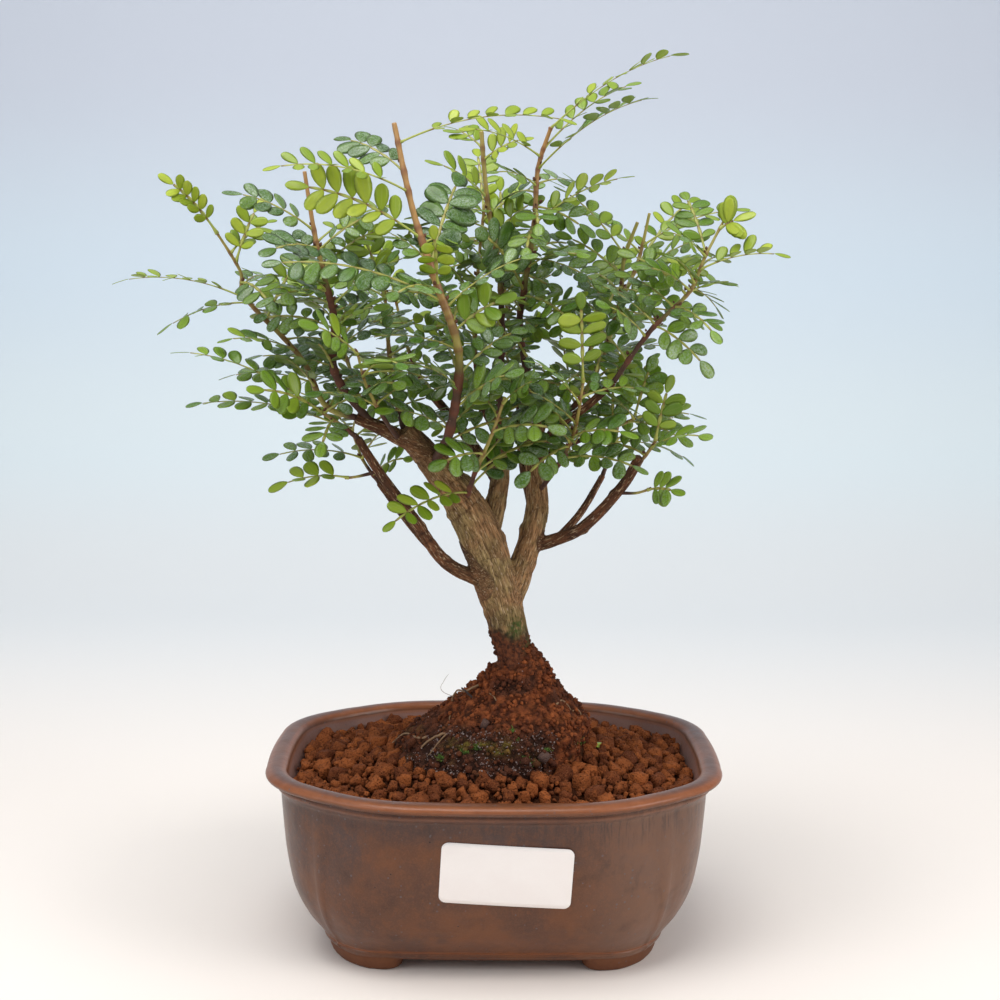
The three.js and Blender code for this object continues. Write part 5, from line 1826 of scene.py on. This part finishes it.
def ring_scars(x, y, z):
    """The old rings round the left limb, where the bark folds across."""
    if not (-26 < x < 2 and z > 133):
        return 0
    total = 0
    for cx, cz in ((-5.5, 146), (-7.5, 148.2), (-13.5, 152.5), (-21, 161)):
        away = (x - cx) * -0.62 + (z - cz) * 0.78
        wave = waves_at(x * 0.3, y * 0.3, z * 0.3) * 0.7
        total += bell((away + wave) / 0.35) * 0.4
    return min(total, 1)


def soil_stain(x, y, z):
    """Earth that sticks to the trunk where it once stood deeper, with a few stains that run higher."""
    wave = 3 * waves_at(x * 0.22, y * 0.22, z * 0.12)
    streak = 0.4 * ramp(0.1, 0.4, waves_at(x * 0.5, y * 0.5, z * 0.09))
    return min(1, ramp(104, 100.5, z + wave) + streak * ramp(118, 103, z))


def damp_ring(x, y, z):
    """The black rim of the earth stain, widest at the trunk's left."""
    wave = 3 * waves_at(x * 0.22, y * 0.22, z * 0.12)
    rough = 0.5 + waves_at(x * 0.8, y * 0.8, z * 0.8)
    left = 0.6 * exp(-((x - 0.5) / 2.5) ** 2 - ((z - 105.5) / 2.6) ** 2)
    return min(1, max(0, rough) * 1.2 * max(bell((z + wave - 102.3) / 1.3), left))


def trunk_moss(x, y, z):
    """The green patch low on the trunk's front, and a paler one at its right foot."""
    patch = exp(-((x - 8.6) / 3.2) ** 2 - ((z - 105.5) / 3.6) ** 2)
    foot = 0.7 * exp(-((x - 13) / 2.2) ** 2 - ((z - 99) / 2.6) ** 2)
    rough = 0.5 + 0.8 * waves_at(x * 1.4, y * 1.4, z * 1.1)
    return min(1, max(patch, foot) * 1.3 * max(0, rough) * ramp(1, -1, y))


# Leafy shoots
def stem_rings(name, shoot, fronds):
    """The stem's rings with the swellings under its fronds, and the values of its finish."""
    woody_to, warmth, is_cut, slimness = STEM_LOOKS.get(name, PLAIN_STEM_LOOK)
    way = shoot_way(shoot)
    length = way_length(way)
    sides = 10
    rings, wood, warm, node, cut = [], [], [], [], []
    for middle, radius, side, up, _, walked, share in stations(way, 0.8):
        knots = 0
        for frond in fronds:
            away = (share - frond["share"]) * length
            knots = max(knots, bell(away / 1.1))
        rough = 0.05 + 0.1 * ramp(woody_to, woody_to - 0.2, share)
        waves = 1 + rough * waves_at(walked * 0.5, len(name) * 1.7, share * 3)

        def swell(angle):
            ridges = waves_at(cos(angle) * 1.2, sin(angle) * 1.2, walked * 0.4 + len(name))
            return 1 + rough * ridges

        slim = radius * slimness * blend(0.82, 0.64, share)
        rings.append(ring_about(middle, slim * (waves + 0.22 * knots), side, up, sides, swell))
        drift = 0.12 * waves_at(walked * 0.09, len(name) * 2.3, 6)
        brown = ramp(woody_to + 0.08, woody_to - 0.12, share + drift)
        wood += [brown] * sides
        warm += [warmth * ramp(woody_to - 0.1, woody_to + 0.3, share)] * sides
        node += [knots * 0.75] * sides
        cut += [0] * sides
    if is_cut:
        tip_ring = rings[-1]
        centre = tuple(sum(p[k] for p in tip_ring) / sides for k in range(3))
        rings.append([plus(centre, plus(p, centre, -1), 0.6) for p in tip_ring])
        cut += [1] * sides
        cut[-2 * sides:-sides] = [0.35] * sides
        for held, value in ((wood, 0), (warm, 0.5), (node, 0.6)):
            held += [value] * sides
    return rings, dict(wood=wood, warm=warm, node=node, cut=cut)


def pair_count(frond):
    length = separation(frond["foot"], frond["tip"])
    leafy = length * (BLADE["last_pair"] - BLADE["petiole"])
    return max(3, round(leafy / frond.get("spacing", LEAFLET_SPACING)))


def node_shares(frond):
    """The shares of the frond's length at which its pairs of leaflets stand, and the one at the tip."""
    length = separation(frond["foot"], frond["tip"])
    pairs = pair_count(frond)
    last = 1 - 1.05 * frond["leaflet"] / length
    return [blend(BLADE["petiole"], last, k / pairs) for k in range(pairs)] + [last]


def leaflet_spots(frond, draw):
    """Where the frond's leaflets sit, how they are turned, and how long and wide they are."""
    spots = []
    shares = node_shares(frond)
    age = frond["age"]
    fold = radians(blend(24, 4, min(1, age * 1.6)) + draw(-8, 8))
    if frond.get("fold"):
        fold = radians(frond["fold"])
    ripple = draw(0, 6.28)
    for number, t in enumerate(shares):
        middle, forward, across, up = frond_frame(frond, t)
        fullness = 0.74 + 0.26 * sin(pi * (number + 0.9) / (len(shares) + 0.6))
        sides = (1, -1) if number < len(shares) - 1 else (0,)
        for side in sides:
            lean = radians(draw(56, 72)) if side else 0
            lift = fold + radians(draw(-13, 13)) if side else radians(draw(-6, 4))
            out = plus(scaled(across, cos(lift) * side), up, sin(lift) if side else 0)
            away = plus(scaled(forward, cos(lean)), out, sin(lean))
            away = unit(plus(away, up, -0.06 + 0.05 * sin(number * 1.7 + ripple)))
            facing = plus(up, across, -side * sin(lift))
            facing = unit(plus(facing, away, -dot(facing, away)))
            facing = rolled(facing, away, radians(draw(-20, 20)))
            length = frond["leaflet"] * 1.42 * fullness * draw(0.92, 1.08)
            broad = length * blend(0.52, 0.7, age) * draw(0.92, 1.08)
            place = plus(plus(middle, across, side * 0.15), up, 0.1)
            size = (length, broad, length)
            values = dict(age=min(1, max(0, age + draw(-0.1, 0.1))), tone=draw(0, 1))
            spots.append(dict(place=place, spin=spin_of(away, facing), size=size, values=values))
    return spots


def rolled(vector, axis, angle):
    """A vector turned about an axis that is square to it."""
    return plus(scaled(vector, cos(angle)), cross(axis, vector), sin(angle))


def spin_of(away, facing):
    """The turn that lays a shape's X along one way and its Z along another."""
    left = cross(facing, away)
    matrix = Matrix((away, left, facing)).transposed()
    return tuple(matrix.to_euler("XYZ"))


def add_stalk(shape, frond):
    """The frond's stalk: round at its foot, then with narrow wings that widen to each pair of leaflets."""
    shares = node_shares(frond)
    length = separation(frond["foot"], frond["tip"])
    steps = [k * shares[0] / 5 for k in range(5)]
    for low, high in zip(shares, shares[1:]):
        steps += [low, low + 0.02 * (high - low) + 0.6 / length, blend(low, high, 0.55)]
    steps.append(shares[-1])
    rings, node, pale = [], [], []
    sides = 6
    for t in steps:
        middle, _, across, up = frond_frame(frond, t)
        at_node = max(exp(-((t - share) * length / 0.55) ** 2) for share in shares)
        below = [share for share in shares if share <= t + 1e-6]
        above = [share for share in shares if share > t]
        climb = (t - below[-1]) / (above[0] - below[-1]) if below and above else 0
        winged = ramp(shares[0] - 0.02, shares[0] + 0.05, t)
        foot_swell = 0.5 * bell(t * length / 1.2)
        half_wide = 0.4 + foot_swell * 0.7 + winged * (0.08 + 0.5 * climb ** 1.5)
        half_thick = 0.32 + foot_swell * 0.6 - 0.14 * winged
        slim = blend(1, 0.7, t)
        ring = ring_about(middle, half_wide * slim, across, up, sides, height=half_thick * slim)
        rings.append(ring[::-1])
        node += [0.85 * at_node * blend(1, 0.45, frond["age"])] * sides
        pale += [blend(1, 0.35, frond["age"])] * sides
    shape.loft(rings, node=node, pale=pale, wood=0, warm=0.12, cut=0)


def add_bud(shape, place, way, radius):
    """A small pointed bud in the corner above a frond's foot."""
    side = unit(cross(way, (0.31, 0.53, 0.79)))
    up = cross(way, side)
    rings = []
    for share, width in ((0, 0.7), (0.25, 1), (0.6, 0.85), (0.85, 0.45), (1, 0.12)):
        rings.append(ring_about(plus(place, way, share * radius * 2.4), radius * width, side, up, 7))
    shape.loft(rings, wood=0.95, node=0.4)


def make_shoot(name, fronds, leaflet, stem, leaf):
    shoot = SHOOTS[name]
    draw = Draws(100 + list(SHOOTS).index(name))
    shape = Shape("wood", "warm", "node", "cut", "pale")
    rings, values = stem_rings(name, shoot, fronds)
    shape.loft(rings, **values)
    spots = []
    way = shoot_way(shoot)
    for frond in fronds:
        add_stalk(shape, frond)
        spots += leaflet_spots(frond, draw)
        x, y, z, radius = along(way, frond["share"] + 0.015)
        _, forward, _, _ = frond_frame(frond, 0)
        outward = unit(plus(forward, (0, 0, 0.8)))
        size = draw(0.3, 0.62)
        if frond["age"] > 0.3:
            add_bud(shape, plus((x, y, z), forward, radius * 0.8), outward, size)
    wooden = shape.make(f"{name} stem", stem)
    leaves = scatter(f"{name} leaves", spots, leaflet, leaf)
    settle(join(f"leafy_{name}", [wooden, leaves]), "leaf", f"shoot_{name}")


def make_shoots():
    leaflet = unit_leaflet("leaflet shape")
    stem = stem_finish()
    leaf = leaf_finish()
    for name, fronds in place_fronds().items():
        make_shoot(name, fronds, leaflet, stem, leaf)
    values = dict(age=0.1, tone=1)
    fallen = [dict(place=(35, 7.4, 61.9), spin=(0.5, 0.1, 0.5), size=(4.6, 3.4, 4.6), values=values)]
    settle(scatter("fallen_leaflet", fallen, leaflet, leaf), "leaf")
    discard(leaflet)


# Stage
def make_stage():
    """A plain pale floor that runs up into a pale wall."""
    profile = [(-700, 0), (500, 0)]
    for step in range(1, 17):
        angle = pi / 2 * step / 16
        profile.append((500 + 400 * sin(angle), 400 * (1 - cos(angle))))
    profile.append((900, 1500))
    points = [(x / 1000, y / 1000, z / 1000) for x in (-1600, 1600) for y, z in profile]
    count = len(profile)
    faces = [(i, count + i, count + i + 1, i + 1) for i in range(count - 1)]
    backdrop = mesh_object("pale_backdrop", points, faces)
    backdrop.data.materials.append(backdrop_finish())


def backdrop_finish():
    """Warm white in front, which cools to pale blue further up the wall."""
    made = Finish("pale backdrop", Roughness=0.95, Specular_IOR_Level=0.1)
    place = made.add("ShaderNodeSeparateXYZ", {0: made.place()}).outputs
    made.skin = made.colour(made.between(place[1], 0.1, 0.55), (0.9, 0.83, 0.77), (0.88, 0.89, 0.885))
    for low, high, further in ((0, 0.09, (0.85, 0.93, 0.955)), (0.09, 0.24, (0.775, 0.875, 0.955)),
                               (0.22, 0.42, (0.715, 0.755, 0.84))):
        made.paint(made.between(place[2], low, high), further)
    return made.finish()


def area_light(name, place, aim, width, power, colour):
    data = bpy.data.lights.new(name, "AREA")
    data.shape = "DISK"
    data.size = width / 1000
    data.energy = power
    data.color = colour
    light = link(bpy.data.objects.new(name, data))
    light.location = metres(place)
    way = Vector(aim) - Vector(place)
    light.rotation_euler = way.to_track_quat("-Z", "Y").to_euler()


def light_scene():
    area_light("overhead softbox", (-120, -160, 900), (0, 0, 120), 700, 6, (1, 0.99, 0.97))
    area_light("left softbox", (-750, -450, 520), (0, 0, 120), 600, 2.2, (0.96, 0.98, 1))
    area_light("right softbox", (700, -350, 480), (0, 0, 110), 500, 3, (1, 0.98, 0.96))
    world = bpy.data.worlds.new("pale room")
    bpy.context.scene.world = world
    world.use_nodes = True
    glow = world.node_tree.nodes["Background"].inputs
    glow["Color"].default_value = (0.86, 0.92, 1, 1)
    glow["Strength"].default_value = 0.4


def set_camera():
    data = bpy.data.cameras.new("camera")
    data.lens = CAMERA["lens"]
    data.sensor_width = CAMERA["sensor"]
    camera = link(bpy.data.objects.new("camera", data))
    camera.location = metres(CAMERA["place"])
    camera.rotation_euler = (radians(90 - CAMERA["down"]), radians(CAMERA["roll"]), 0)
    bpy.context.scene.camera = camera


def set_colours():
    view = bpy.context.scene.view_settings
    view.view_transform = "Standard"
    view.look = "None"
    view.exposure = 0
    view.gamma = 1


def finish_drain_mesh():
    """The plastic mesh over the drain hole keeps its solid's shape."""
    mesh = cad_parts["drain_mesh"].data
    mesh.materials.clear()
    mesh.materials.append(plastic_finish())


make_pot()
make_label()
finish_drain_mesh()
make_soil()
make_mound()
make_roots()
make_moss()
make_trunk()
make_shoots()
make_stage()
light_scene()
set_camera()
set_colours()
